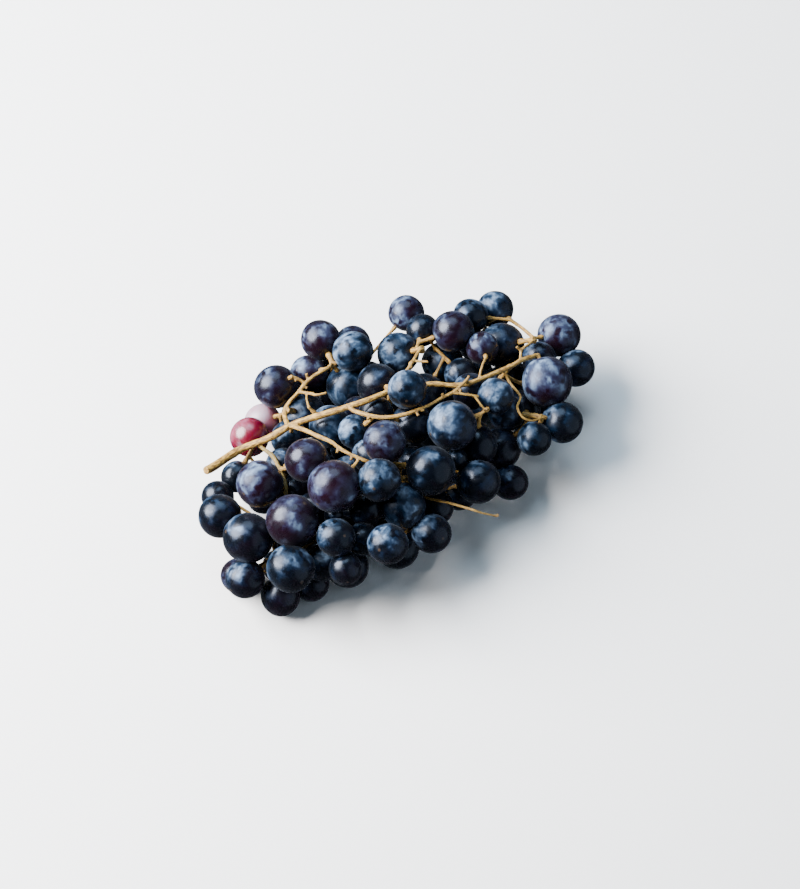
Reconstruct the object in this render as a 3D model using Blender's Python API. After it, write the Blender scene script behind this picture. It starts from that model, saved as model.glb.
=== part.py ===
"""A picked bunch of dark grapes, lying on its side.

Nine bodies: the woody stem, and the berries of eight sprays, where the
berries of a spray press into each other and hold together as one body.
Berries and branches are placed on a tilted sheet (across, up, out) in
millimetres, and turned into the part's frame in metres at the end.
"""
from math import cos, pi, radians, sin, sqrt

import bmesh
import bpy
import numpy as np
from mathutils import Matrix, Vector

# The sheet and the bunch's overall form
SHEET_TILT = radians(60)
SHEET_TURN = radians(37)
SHEET_HEIGHT = 24.0
BUNCH_HALF_SIZES = np.array([88.0, 52.0, 32.0])
OUTER_INSET = 9.0

# How close things come, in millimetres
BERRY_PRESS = 1.3
BERRY_GAP = 0.5
WOOD_GAP = 0.6
TABLE_SINK = 0.6
SEAT_GAP = 0.35
FACET_REACH = 1.02

# Inner berries, which fill the room under the outer ones
INNER_SEED = 4
INNER_TRIES = 14000
INNER_COUNT = 41
INNER_RADII = (6.7, 8.6)
INNER_DEPTH = 13.0
INNER_BELOW = 6.0
INNER_COVER = 0.7
INNER_LEAST_ROOM = 4.9
INNER_LEAST_HEIGHT = 7.5
INNER_INSETS = np.array([14.0, 9.0, 8.0])

# Settling: shares of each overlap or distance that are moved in a round
FIRST_ROUNDS = 200
LAST_ROUNDS = 600
LOOSE_SHARE = 0.8
BOND_ROUNDS = 50
BOND_PULL = 0.25
OUTER_PULL = 0.4
APART_PUSH = 0.35
WOOD_PUSH = np.array([0.3, 0.3, 0.9])
OUTER_HOLD = np.array([0.35, 0.35, 0.01])
INNER_HOLD = 0.06
INNER_FALL = 0.08
LONGEST_MOVE = 1.5

# Branches and pedicels
BRANCH_GIRTH = 0.79
STEM_SIDES = 6
TWIG_SIDES = 5
PEDICEL_SIDES = 4
BRANCH_STEP = 6.0
WOOD_STEP = 1.6
ROOT_SNAP = 2.5
PEDICEL_LENGTH = 6.0
PEDICEL_RADIUS = 0.75
PEDICEL_LEAST_RADIUS = 0.4
PEDICEL_GROWTH = 0.45
PEDICEL_SEAT = 1.5
PEDICEL_CLEAR = 0.45
PEDICEL_BOW = 0.25
SHORT_COST = 2.0
CROSSING_COST = 4.0
BEND_ROUNDS = 120
BEND_PUSH = 0.7
BEND_STIFFNESS = 0.05
THICK_BRANCHES = ("peduncle", "rachis")
BARE_BRANCHES = ("peduncle", "bare_twig")

MERGE_DISTANCE = 3e-6
TABLE_CUT_SIZE = (0.4, 0.4, 0.02)

# Berries of each spray: across, up, diameter, depth below the outer face.
UNRIPE_SPRAY = 1
SPRAYS = {
    "berries_upper_shoulder": [
        (-32.3, 44.3, 16.4, 0), (-19.5, 40.5, 16.3, -10), (-19.0, 43.3, 14.5, 8),
        (-48.8, 25.5, 17.8, 0), (-36.0, 29.7, 15.5, 6), (-41.5, 13.0, 18.5, 13),
        (-20.7, 24.7, 18.7, 17), (-10.0, 25.3, 17.0, 16), (-32.0, 20.0, 14.0, 18)],
    "berries_unripe": [(-60.5, 5.2, 16.0, 2), (-53.0, 12.0, 15.0, 8)],
    "berries_lower_shoulder": [
        (-4.3, 3.2, 17.2, 0), (-7.6, -13.5, 17.2, 0), (-26.0, -14.5, 20.8, -1),
        (-36.8, -4.0, 17.6, 4), (-16.5, 7.7, 13.8, 8), (-27.0, 8.5, 17.0, 15),
        (-14.4, -2.7, 14.0, 14), (-11.0, 15.0, 14.0, 16)],
    "berries_left_wing": [
        (-55.2, -13.2, 18.8, 0), (-41.5, -27.6, 20.9, 0), (-60.0, -35.6, 20.0, -2),
        (-71.7, -26.1, 17.5, 4), (-43.2, -46.2, 19.2, 0), (-61.0, -50.7, 15.6, 6),
        (-64.3, -50.0, 14.0, 14), (-46.0, -57.7, 16.0, 10), (-73.0, -18.5, 13.0, 12),
        (-65.0, -10.5, 13.0, 12), (-31.3, -44.7, 15.0, 10), (-34.7, -51.5, 14.0, 15),
        (-45.5, -4.0, 14.0, 14), (-44.0, 4.5, 15.0, 18), (-42.0, -15.0, 14.0, 15),
        (-31.0, -25.0, 14.0, 14)],
    "berries_near_side": [
        (-25.3, -34.3, 15.5, 8), (-22.3, -46.0, 13.0, 10), (-5.2, -36.7, 16.3, 3),
        (12.7, -33.3, 16.0, 3), (0.5, -21.6, 18.0, 8), (12.8, -7.0, 19.8, 0),
        (-14.4, -24.2, 14.0, 14), (14.0, -22.0, 14.5, 15), (-15.0, -35.0, 13.5, 13)],
    "berries_middle": [
        (20.8, 9.7, 20.0, 0), (3.9, 21.9, 15.8, -3), (38.0, 23.5, 14.8, 0),
        (41.7, 13.3, 15.0, 10), (17.6, 35.3, 17.3, 16), (4.7, 8.0, 17.0, 14),
        (30.7, 2.0, 17.0, 12), (40.3, 2.8, 17.0, 14), (31.3, -13.0, 17.6, 4),
        (44.5, -13.5, 14.5, 14), (24.0, -17.5, 14.0, 14), (26.5, 24.0, 15.0, 16),
        (50.5, 17.5, 15.0, 16), (26.0, 33.0, 13.5, 14)],
    "berries_far_side": [
        (3.0, 55.3, 14.8, 0), (9.5, 48.5, 13.5, 2), (21.1, 46.8, 16.8, -7),
        (-1.2, 38.2, 17.2, 7), (28.7, 54.5, 14.4, 8), (39.5, 57.0, 15.2, 10),
        (41.7, 42.5, 18.6, 2), (31.0, 39.3, 13.5, 5)],
    "berries_tip": [
        (64.3, 47.0, 17.6, 0), (71.7, 32.9, 15.4, 4), (58.3, 26.6, 20.5, 0),
        (66.0, 10.8, 16.8, 3), (52.5, 4.0, 13.8, 5), (55.0, 39.0, 14.0, 14)],
}
# Branches: radius at the root and at the end before the girth is taken, and
# points as across, up, lift over the outer berries' centres.
BRANCHES = {
    "peduncle": (2.4, 2.1, [
        (-77, -8.2, 6), (-74, -6.6, 4), (-64, 0, -1), (-52, 4.9, -3), (-44.5, 9.3, -3)]),
    "rachis": (2.0, 1.3, [
        (-44.5, 9.3, -3), (-40.7, 10.9, -3), (-34, 13, -2.5), (-24, 16, -2), (-14, 19.3, -2),
        (-7.3, 22, -3), (-3, 23.7, -4.5), (4.5, 25.3, -6.5), (12.7, 26.3, -5), (21.3, 25.7, -4),
        (26.7, 26.3, -4), (30.7, 27.7, -4), (38, 30.7, -4), (45.3, 34, -3), (49.3, 36.3, -2),
        (56, 38.3, -2)]),
    "upper_branch": (1.5, 1.0, [
        (-44.8, 9.6, -3), (-46.3, 14.7, -1), (-44.7, 18.7, 0), (-40.7, 23.3, 1),
        (-38, 26.7, 2), (-34.7, 29.7, 2), (-30.7, 32, 2), (-26.7, 34.3, 0)]),
    "upper_twig": (0.9, 0.8, [(-38.5, 26.5, 1.5), (-41, 28.6, 3), (-44, 29.6, 4)]),
    "cross_twig": (0.9, 0.8, [
        (-40.2, 23.6, 1), (-36, 22.7, 0), (-33.3, 22, -1), (-29.3, 22.8, -3)]),
    "hanging_twig": (0.8, 0.7, [(-37.6, 22.9, 0), (-37.3, 20.5, -1), (-36.3, 16.7, -3)]),
    "middle_branch": (1.4, 0.9, [
        (-20, 17.3, -2), (-18.3, 15.6, -1), (-13.3, 14, 0), (-8.7, 13, 0), (-4, 13, 0),
        (2, 14, 0), (7.3, 16, 0), (12, 18, 0), (16.7, 20.7, 0), (20.7, 22.7, 0),
        (24, 25.3, 0), (26.7, 28, 0)]),
    "middle_fork": (0.9, 0.8, [(20.7, 22.7, 0), (26.7, 22, 0), (31.3, 21.3, -1)]),
    "middle_hook": (0.8, 0.7, [(29.3, 21.6, -0.5), (32.7, 17.3, -2), (34.7, 15.3, -4)]),
    "lower_branch": (1.4, 1.0, [
        (-44, 9.2, -3), (-38, 8, -2.5), (-32, 5.3, -2), (-27.3, 3.3, -2), (-22.7, 0, -2),
        (-18.7, -2, -2), (-13.3, -4.3, -3), (-10, -5.3, -5), (-4, -6, -10)]),
    "far_branch": (1.2, 0.8, [
        (-4, 23.6, -4), (-1.3, 27.3, -2), (2, 30.7, -1), (4.7, 34.7, 0), (7.3, 39, -1),
        (9.3, 40.7, -2)]),
    "far_twig": (0.8, 0.7, [(3.2, 32.8, -0.5), (4.7, 35.3, -0.5), (11.3, 35.3, 0)]),
    "tip_twig": (0.9, 0.7, [(48.2, 35.8, -2), (48.7, 40, 1), (50.7, 41.7, 2), (54.7, 44.7, 2)]),
    "rachis_twig": (0.8, 0.7, [(31.2, 28, -4), (33, 34, -2), (34.7, 37.3, -4)]),
    "wing_branch": (1.3, 1.1, [
        (-58, 2.6, -2), (-53, -0.5, -7), (-50, -3.2, -9), (-47, -9, -11), (-45, -16, -12),
        (-48, -26, -14), (-50, -38, -14)]),
    "bare_twig": (1.0, 0.6, [
        (5, -15, -20), (10, -18.7, -13), (18.7, -20.7, -7), (28, -23.3, 2), (32, -24.7, 6),
        (38, -26, 10)]),
    "tip_hook": (0.9, 0.7, [
        (44, 27, -7), (48, 21.3, -3), (46.7, 17.3, -3), (48.7, 13.3, -3), (52, 11.7, -3),
        (55.3, 12.3, -3), (57.3, 13.3, -4)]),
}

SHEET_RIGHT = np.array([cos(SHEET_TURN), -sin(SHEET_TURN), 0.0])
SHEET_OUT = np.array([
    -cos(SHEET_TILT) * sin(SHEET_TURN), -cos(SHEET_TILT) * cos(SHEET_TURN), sin(SHEET_TILT)])
SHEET_UP = np.cross(SHEET_OUT, SHEET_RIGHT)
SHEET_AXES = np.stack([SHEET_RIGHT, SHEET_UP, SHEET_OUT], axis=1)
SHEET_LEAN = SHEET_AXES[2]


def unit(vector):
    """The vector at length one."""
    return vector / np.linalg.norm(vector)


def outer_face(across, up):
    """Out place of the outer berries' centres over a point of the sheet."""
    half = BUNCH_HALF_SIZES - OUTER_INSET
    start = SHEET_AXES @ np.array([across, up, 0.0])
    a = np.sum((SHEET_OUT / half) ** 2)
    b = 2 * np.sum(start * SHEET_OUT / half ** 2)
    c = np.sum((start / half) ** 2) - 1
    return (-b + sqrt(max(b * b - 4 * a * c, 0))) / (2 * a)


def smooth_path(points, step):
    """Points on a smooth curve through the given points, about a step apart."""
    held = np.vstack([2 * points[0] - points[1], points, 2 * points[-1] - points[-2]])
    path = []
    for i in range(1, len(held) - 2):
        p, q, r, s = held[i - 1:i + 3]
        count = max(1, int(round(np.linalg.norm(r - q) / step)))
        for k in range(count):
            t = k / count
            bend = (2 * p - 5 * q + 4 * r - s) * t * t + (-p + 3 * q - 3 * r + s) * t ** 3
            path.append(0.5 * (2 * q + (r - p) * t + bend))
    path.append(points[-1])
    return np.array(path)


def close_points(path):
    """Points a short step apart along a chain of straight pieces."""
    points = []
    for p, q in zip(path, path[1:]):
        count = max(1, int(round(np.linalg.norm(q - p) / WOOD_STEP)))
        points += [p + (q - p) * k / count for k in range(count)]
    return np.array(points + [path[-1]])


def branch_paths():
    """Path and radii of each branch, rooted on the nearest wood before it."""
    paths = {}
    wood = None
    for name, (first, last, points) in BRANCHES.items():
        raised = np.array([(u, v, outer_face(u, v) + lift) for u, v, lift in points])
        if wood is not None:
            away = np.linalg.norm(wood - raised[0], axis=1)
            kept = raised[1:] if away.min() < ROOT_SNAP else raised
            raised = np.vstack([wood[away.argmin()], kept])
        path = smooth_path(raised, BRANCH_STEP)
        paths[name] = (path, np.linspace(first, last, len(path)) * BRANCH_GIRTH)
        dense = close_points(path)
        wood = dense if wood is None else np.vstack([wood, dense])
    return paths


def wood_points(paths):
    """Close points along all branches, and the radius at each."""
    points, radii = [], []
    for path, ends in paths.values():
        dense = close_points(path)
        points.append(dense)
        radii.append(np.linspace(ends[0], ends[-1], len(dense)))
    return np.vstack(points), np.concatenate(radii)


def lay_out():
    """Centres, radii and spray numbers of the outer berries."""
    centres, radii, sprays = [], [], []
    for number, rows in enumerate(SPRAYS.values()):
        for across, up, diameter, depth in rows:
            centres.append([across, up, outer_face(across, up) - depth])
            radii.append(diameter / 2)
            sprays.append(number)
    return np.array(centres), np.array(radii), np.array(sprays)


def inner_spots(centres, radii):
    """Random places inside the bunch that the outer berries cover."""
    rng = np.random.default_rng(INNER_SEED)
    spots = rng.uniform(-1, 1, size=(INNER_TRIES, 3))
    spots = spots[(spots ** 2).sum(axis=1) < 1] * (BUNCH_HALF_SIZES - INNER_INSETS)
    spots = spots[spots[:, 2] > INNER_LEAST_HEIGHT - SHEET_HEIGHT] @ SHEET_AXES
    faces = np.array([outer_face(across, up) for across, up, _ in spots])
    spots = spots[spots[:, 2] < faces - INNER_DEPTH]
    aside = np.linalg.norm(spots[:, None, :2] - centres[None, :, :2], axis=2)
    under = spots[:, None, 2] < centres[None, :, 2] - INNER_BELOW
    return spots[((aside < radii * INNER_COVER) & under).any(axis=1)]


def fill_inside(centres, radii, sprays, wood, wood_radii):
    """Add inner berries, each in the widest room left inside the bunch."""
    spots = inner_spots(centres, radii)
    room = (np.linalg.norm(spots[:, None] - centres[None], axis=2) - radii).min(axis=1)
    wood_room = (np.linalg.norm(spots[:, None] - wood[None], axis=2) - wood_radii).min(axis=1)
    room = np.minimum(room, wood_room - WOOD_GAP)
    for _ in range(INNER_COUNT):
        pick = int(room.argmax())
        if room[pick] < INNER_LEAST_ROOM:
            break
        spot = spots[pick]
        radius = np.clip(room[pick], *INNER_RADII)
        away = np.linalg.norm(centres - spot, axis=1) - radii
        away[sprays == UNRIPE_SPRAY] = np.inf
        sprays = np.append(sprays, sprays[away.argmin()])
        centres = np.vstack([centres, spot])
        radii = np.append(radii, radius)
        room = np.minimum(room, np.linalg.norm(spots - spot, axis=1) - radius)
    return centres, radii, sprays


def nearest_bonds(centres, radii, sprays):
    """Pairs of berries that hold each spray together as a tree."""
    bonds = []
    for number in np.unique(sprays):
        rest = list(np.nonzero(sprays == number)[0])
        done = [rest.pop(0)]
        while rest:
            pairs = [
                (np.linalg.norm(centres[a] - centres[b]) - radii[a] - radii[b], a, b)
                for a in done for b in rest]
            _, a, b = min(pairs)
            bonds.append((a, b))
            done.append(b)
            rest.remove(b)
    return np.array(bonds)


def bond_pull(centres, radii, bonds):
    """Moves that bring bonded berries together until they press."""
    a, b = bonds.T
    move = np.zeros_like(centres)
    link = centres[b] - centres[a]
    length = np.linalg.norm(link, axis=1, keepdims=True)
    slack = np.clip(length - (radii[a] + radii[b] - BERRY_PRESS)[:, None], 0, None)
    pull = slack / length * link * BOND_PULL
    np.add.at(move, a, pull)
    np.add.at(move, b, -pull)
    return move


def apart_push(centres, radii, bonds):
    """Moves that clear berries of each other, or let bonded ones just press."""
    a, b = bonds.T
    reach = radii[:, None] + radii[None] + BERRY_GAP
    reach[a, b] -= BERRY_GAP + BERRY_PRESS
    reach[b, a] -= BERRY_GAP + BERRY_PRESS
    np.fill_diagonal(reach, 0)
    apart = centres[:, None] - centres[None]
    length = np.linalg.norm(apart, axis=2) + 1e-9
    over = np.clip(reach - length, 0, None)
    return (apart / length[..., None] * over[..., None]).sum(axis=1) * APART_PUSH


def wood_push(centres, radii, wood, wood_radii):
    """Moves that clear each berry of the wood that it meets deepest."""
    off = centres[:, None] - wood[None]
    length = np.linalg.norm(off, axis=2)
    over = np.clip(radii[:, None] + wood_radii[None] + WOOD_GAP - length, 0, None)
    worst = over.argmax(axis=1)
    row = np.arange(len(centres))
    share = over[row, worst] / length[row, worst]
    return off[row, worst] * share[:, None] * WOOD_PUSH


def settle(centres, home, radii, sprays, wood, wood_radii, rounds):
    """Move the berries until bonded ones press together and all others are clear.

    The outer berries come first and are held near home; the inner ones sink
    until they lie on the table or on others.
    """
    start = centres
    outer = np.arange(len(centres)) < len(home)
    for turn in range(rounds):
        loose = turn < rounds * LOOSE_SHARE
        if turn % BOND_ROUNDS == 0 and loose:
            bonds = nearest_bonds(centres, radii, sprays)
        move = bond_pull(centres, radii, bonds)
        if loose:
            move[outer, :2] *= OUTER_PULL
            move[outer] += (home - centres[outer]) * OUTER_HOLD
            move[~outer, :2] += (start - centres)[~outer, :2] * INNER_HOLD
            move[~outer, 2] -= INNER_FALL
        move += apart_push(centres, radii, bonds)
        move += wood_push(centres, radii, wood, wood_radii)
        centres = centres + np.clip(move, -LONGEST_MOVE, LONGEST_MOVE)
        low = np.clip(radii - TABLE_SINK - centres @ SHEET_LEAN - SHEET_HEIGHT, 0, None)
        centres[:, 2] += low / SHEET_LEAN[2]
    return centres


def crossing(starts, target, centres, radii, skip):
    """Length of each start-to-target line that runs through other berries."""
    line = target - starts
    length = np.linalg.norm(line, axis=1)
    line = line / length[:, None]
    away = centres[None] - starts[:, None]
    along = np.clip((away * line[:, None]).sum(axis=2), 0, length[:, None])
    miss = np.linalg.norm(away - along[..., None] * line[:, None], axis=2)
    chord = 2 * np.sqrt(np.clip((radii + SEAT_GAP) ** 2 - miss ** 2, 0, None))
    chord[:, skip] = 0
    return chord.sum(axis=1)


def off_piece(path, k, centres):
    """Steps from the berries' centres to a path's piece, and where they meet it."""
    piece = path[k + 1] - path[k]
    along = np.clip((centres - path[k]) @ piece / (piece @ piece), 0, 1)
    return path[k] + along[:, None] * piece - centres, along


def room_round(path, number, centres, radii):
    """Least distance from each piece of a pedicel to berries but its own seat."""
    room = []
    for k in range(len(path) - 1):
        off, _ = off_piece(path, k, centres)
        free = np.linalg.norm(off, axis=1) - radii * FACET_REACH
        if k == len(path) - 2:
            free[number] = np.inf
        room.append(free.min())
    return np.array(room)


def bend_clear(path, number, centres, radii):
    """Bend a pedicel's inner points until its pieces run clear of the berries."""
    path = path.copy()
    reach = radii * FACET_REACH + PEDICEL_RADIUS + PEDICEL_CLEAR
    seat = radii[number] * FACET_REACH + SEAT_GAP
    for _ in range(BEND_ROUNDS):
        move = np.zeros_like(path)
        for k in range(len(path) - 1):
            off, along = off_piece(path, k, centres)
            miss = np.linalg.norm(off, axis=1)
            deep = reach - miss
            if k == len(path) - 2:
                deep[number] = 0
            near = int(deep.argmax())
            push = off[near] / miss[near] * max(deep[near], 0)
            move[k] += push * (1 - along[near])
            move[k + 1] += push * along[near]
        straight = 0.5 * (path[:-2] + path[2:]) - path[1:-1]
        path[1:-1] += BEND_PUSH * move[1:-1] + BEND_STIFFNESS * straight
        path[-1] = centres[number] + unit(path[-2] - centres[number]) * seat
    return path


def spare_points(path, number, centres, radii):
    """The fewest of a pedicel's five points that keep it clear and gently bent."""
    least = PEDICEL_RADIUS + PEDICEL_CLEAR * 2 / 3
    for kept in ((0, 2, 4), (0, 1, 4), (0, 3, 4), (0, 1, 3, 4), (0, 1, 2, 4), (0, 2, 3, 4)):
        fewer = path[list(kept)]
        if room_round(fewer, number, centres, radii).min() >= least:
            return fewer
    return path


def pedicel_path(start, head, number, centres, radii):
    """A pedicel that leaves the wood along its run and ends on a berry."""
    reach = centres[number] - start
    free = np.linalg.norm(reach) - radii[number]
    bow = start + PEDICEL_BOW * free * (unit(head) + unit(reach))
    end = 0.5 * (bow + centres[number])
    t = np.linspace(0, 1, 5)[:, None]
    path = (1 - t) ** 2 * start + 2 * t * (1 - t) * bow + t ** 2 * end
    path = bend_clear(path, number, centres, radii)
    return spare_points(path, number, centres, radii)


def pedicel_radii(path, number, carried, centres, radii):
    """Radius at each point: thicker where more berries hang, never in a berry."""
    wanted = np.linspace(PEDICEL_RADIUS * carried ** PEDICEL_GROWTH, PEDICEL_RADIUS, len(path))
    wanted[-1] = PEDICEL_RADIUS * PEDICEL_SEAT
    room = room_round(path, number, centres, radii) - SEAT_GAP
    limit = np.minimum(np.append(room, np.inf), np.append(np.inf, room))
    return np.clip(wanted, PEDICEL_LEAST_RADIUS, np.maximum(limit, PEDICEL_LEAST_RADIUS))


class Wood:
    """Points of the wood that a pedicel may grow from."""

    def __init__(self, paths):
        self.points = []
        self.heads = []
        self.owners = []
        self.tips = []
        for name, (path, _) in paths.items():
            if name not in BARE_BRANCHES:
                ends_only = "twig" in name or "hook" in name
                self.add(close_points(path), name, ends_only)

    def add(self, dense, owner, ends_only=False):
        """Take in a branch's points, or only its end where it is a berry's own twig."""
        first = len(dense) - 1 if ends_only else 1
        for k in range(first, len(dense)):
            tip = k == len(dense) - 1 and isinstance(owner, str)
            head = dense[k] - dense[k - 1]
            self.points.append(dense[k] - 0.5 * head if tip else dense[k])
            self.heads.append(head)
            self.owners.append(owner)
            self.tips.append(tip)

    def costs(self, fresh, number, centres, radii):
        """Cost of leading a pedicel to a berry from each point since the fresh one."""
        starts = np.array(self.points[fresh:])
        free = np.linalg.norm(starts - centres[number], axis=1) - radii[number]
        short = SHORT_COST * np.clip(PEDICEL_LENGTH - free, 0, None)
        cost = np.where(self.tips[fresh:], free, np.maximum(free, PEDICEL_LENGTH) + short)
        crossed = crossing(starts, centres[number], centres, radii, number)
        return cost + CROSSING_COST * crossed


def grow_pedicels(centres, radii, paths):
    """Lead a pedicel to every berry from the cheapest point of the wood so far.

    Returns a path for each berry that can be reached, by its number, the
    number of berries on each pedicel, and the direction of each berry's seat.
    """
    wood = Wood(paths)
    best = np.full(len(centres), np.inf)
    origin = np.zeros(len(centres), int)
    seats = np.zeros_like(centres)
    carried = np.ones(len(centres), int)
    parents = {}
    grown = {}
    fresh = 0
    waiting = set(range(len(centres)))
    while waiting:
        if fresh < len(wood.points):
            for number in waiting:
                cost = wood.costs(fresh, number, centres, radii)
                pick = int(cost.argmin())
                if cost[pick] < best[number]:
                    best[number] = cost[pick]
                    origin[number] = fresh + pick
        fresh = len(wood.points)
        number = min(waiting, key=lambda k: best[k])
        waiting.remove(number)
        root = origin[number]
        path = pedicel_path(wood.points[root], wood.heads[root], number, centres, radii)
        seats[number] = unit(path[-1] - centres[number])
        if room_round(path, number, centres, radii).min() < PEDICEL_LEAST_RADIUS + SEAT_GAP:
            continue
        grown[number] = path
        parents[number] = wood.owners[root]
        parent = parents[number]
        while parent in parents:
            carried[parent] += 1
            parent = parents[parent]
        dense = close_points(path)
        wood.add(dense[1:int(0.8 * len(dense))], number)
    return grown, carried, seats


def to_row(points, shift=np.zeros(3)):
    """Metres in the part's frame from millimetres on the sheet."""
    return (points @ SHEET_AXES.T + np.array([0, 0, SHEET_HEIGHT]) + shift) / 1000


def centring_shift(centres, radii, wood, wood_radii):
    """The sideways move, in millimetres, that puts the origin under the middle."""
    points = to_row(np.vstack([centres, wood])) * 1000
    sizes = np.append(radii, wood_radii)[:, None]
    middle = ((points - sizes).min(axis=0) + (points + sizes).max(axis=0)) / 2
    return np.array([-middle[0], -middle[1], 0.0])


def link_mesh(name, bm, collection):
    """Make a named object of a bmesh in a collection."""
    mesh = bpy.data.meshes.new(name)
    bm.normal_update()
    bm.to_mesh(mesh)
    bm.free()
    obj = bpy.data.objects.new(name, mesh)
    collection.objects.link(obj)
    return obj


def tube(name, path, radii, sides, collection):
    """A closed tube of few sides along a path."""
    bm = bmesh.new()
    side = Vector((0.31, 0.22, 0.93))
    rings = []
    for k, point in enumerate(path):
        before = path[max(k - 1, 0)]
        after = path[min(k + 1, len(path) - 1)]
        head = Vector(after - before).normalized()
        side = (side - side.dot(head) * head).normalized()
        over = head.cross(side)
        ring = []
        for n in range(sides):
            turn = 2 * pi * n / sides
            reach = (side * cos(turn) + over * sin(turn)) * radii[k]
            ring.append(bm.verts.new(Vector(point) + reach))
        rings.append(ring)
    for low, high in zip(rings, rings[1:]):
        for n in range(sides):
            m = (n + 1) % sides
            bm.faces.new((low[n], low[m], high[m], high[n]))
    bm.faces.new(list(reversed(rings[0])))
    bm.faces.new(rings[-1])
    return link_mesh(name, bm, collection)


def berry(name, centre, radius, seat, collection):
    """A round berry of few facets, one corner towards its pedicel."""
    bm = bmesh.new()
    bmesh.ops.create_icosphere(bm, subdivisions=2, radius=radius * FACET_REACH)
    turn = Vector((0, 0, 1)).rotation_difference(Vector(seat)).to_matrix().to_4x4()
    bm.transform(Matrix.Translation(Vector(centre)) @ turn)
    return link_mesh(name, bm, collection)


def apply_modifiers(obj):
    """Replace an object's mesh by its modified form."""
    graph = bpy.context.evaluated_depsgraph_get()
    mesh = bpy.data.meshes.new_from_object(obj.evaluated_get(graph))
    obj.modifiers.clear()
    obj.data = mesh


def union(collection, name, material, solver="EXACT"):
    """Fuse all objects of a collection in one object and remove them."""
    pieces = list(collection.objects)
    obj = pieces.pop(0)
    collection.objects.unlink(obj)
    bpy.context.scene.collection.objects.link(obj)
    obj.name = name
    fuse = obj.modifiers.new("fuse", "BOOLEAN")
    fuse.operation = "UNION"
    fuse.operand_type = "COLLECTION"
    fuse.collection = collection
    fuse.solver = solver
    apply_modifiers(obj)
    for piece in pieces:
        bpy.data.objects.remove(piece)
    bpy.data.collections.remove(collection)
    obj.data.materials.clear()
    obj.data.materials.append(material)
    return obj


def cut(obj, cutter):
    """Take a cutter's volume away from an object."""
    cutter.hide_render = True
    cutter.display_type = "WIRE"
    take = obj.modifiers.new("cut", "BOOLEAN")
    take.operation = "DIFFERENCE"
    take.object = cutter
    take.solver = "EXACT"
    apply_modifiers(obj)


def drop_crumbs(bm):
    """Keep the largest shell of a mesh."""
    waiting = set(bm.faces)
    shells = []
    while waiting:
        shell = set()
        edge = [waiting.pop()]
        while edge:
            face = edge.pop()
            shell.add(face)
            around = {other for side in face.edges for other in side.link_faces}
            fresh = around & waiting
            waiting -= fresh
            edge += fresh
        shells.append(shell)
    shells.sort(key=len)
    crumbs = [face for shell in shells[:-1] for face in shell]
    if crumbs:
        bmesh.ops.delete(bm, geom=crumbs, context="FACES")


def clean(obj):
    """Make the facets triangles, merge stray points and drop loose crumbs."""
    bm = bmesh.new()
    bm.from_mesh(obj.data)
    bmesh.ops.triangulate(bm, faces=bm.faces)
    bmesh.ops.remove_doubles(bm, verts=bm.verts, dist=MERGE_DISTANCE)
    drop_crumbs(bm)
    for face in bm.faces:
        face.smooth = True
    bm.to_mesh(obj.data)
    bm.free()


def finish(name, colour, roughness):
    """A plain material with one colour."""
    material = bpy.data.materials.new(name)
    material.use_nodes = True
    shader = material.node_tree.nodes["Principled BSDF"]
    shader.inputs["Base Color"].default_value = (*colour, 1.0)
    shader.inputs["Roughness"].default_value = roughness
    return material


def new_collection(name):
    """A collection in the scene."""
    collection = bpy.data.collections.new(name)
    bpy.context.scene.collection.children.link(collection)
    return collection


def build_stem(paths, grown, carried, centres, radii, shift, material):
    """The woody stem: branches and pedicels, fused in one body."""
    collection = new_collection("stem_parts")
    for name, (path, sizes) in paths.items():
        sides = STEM_SIDES if name in THICK_BRANCHES else TWIG_SIDES
        tube(f"stem_{name}", to_row(path, shift), sizes / 1000, sides, collection)
    for number, path in grown.items():
        sizes = pedicel_radii(path, number, carried[number], centres, radii)
        row = to_row(path, shift)
        tube(f"stem_pedicel_{number}", row, sizes / 1000, PEDICEL_SIDES, collection)
    return union(collection, "stem", material, "MANIFOLD")


def build_table_cut():
    """The space under the table, which flattens the berries that lie on it."""
    bm = bmesh.new()
    bmesh.ops.create_cube(bm, size=1.0)
    low = Matrix.Translation((0, 0, -TABLE_CUT_SIZE[2] / 2))
    bm.transform(low @ Matrix.Diagonal((*TABLE_CUT_SIZE, 1)))
    return link_mesh("table_cut", bm, bpy.context.scene.collection)


def main():
    """Build the nine bodies."""
    for obj in list(bpy.data.objects):
        bpy.data.objects.remove(obj)

    paths = branch_paths()
    wood = wood_points(paths)
    home, radii, sprays = lay_out()
    centres = settle(home, home, radii, sprays, *wood, FIRST_ROUNDS)
    centres, radii, sprays = fill_inside(centres, radii, sprays, *wood)
    centres = settle(centres, home, radii, sprays, *wood, LAST_ROUNDS)
    grown, carried, seats = grow_pedicels(centres, radii, paths)
    shift = centring_shift(centres, radii, *wood)

    tan = finish("tan_wood", (0.42, 0.25, 0.09), 0.6)
    dark = finish("dark_berry", (0.02, 0.025, 0.06), 0.35)
    crimson = finish("crimson_berry", (0.45, 0.02, 0.06), 0.35)

    bodies = [build_stem(paths, grown, carried, centres, radii, shift, tan)]
    table = build_table_cut()
    places = to_row(centres, shift)
    directions = seats @ SHEET_AXES.T
    for number, name in enumerate(SPRAYS):
        collection = new_collection(name)
        for k in np.nonzero(sprays == number)[0]:
            berry(f"{name}_{k}", places[k], radii[k] / 1000, directions[k], collection)
        body = union(collection, name, crimson if number == UNRIPE_SPRAY else dark)
        cut(body, table)
        bodies.append(body)
    for body in bodies:
        clean(body)
    bpy.data.objects.remove(table)


main()
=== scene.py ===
"""Looks of a picked bunch of dark grapes that lies on its side.

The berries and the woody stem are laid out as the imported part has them, on a
tilted sheet (across, up, out) in millimetres, and made again with fine
meshes and procedural finishes in the part's frame, in metres.
"""
import logging
from dataclasses import dataclass, field
from enum import Enum
from functools import partial, reduce
from math import cos, pi, radians, sin, sqrt

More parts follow.
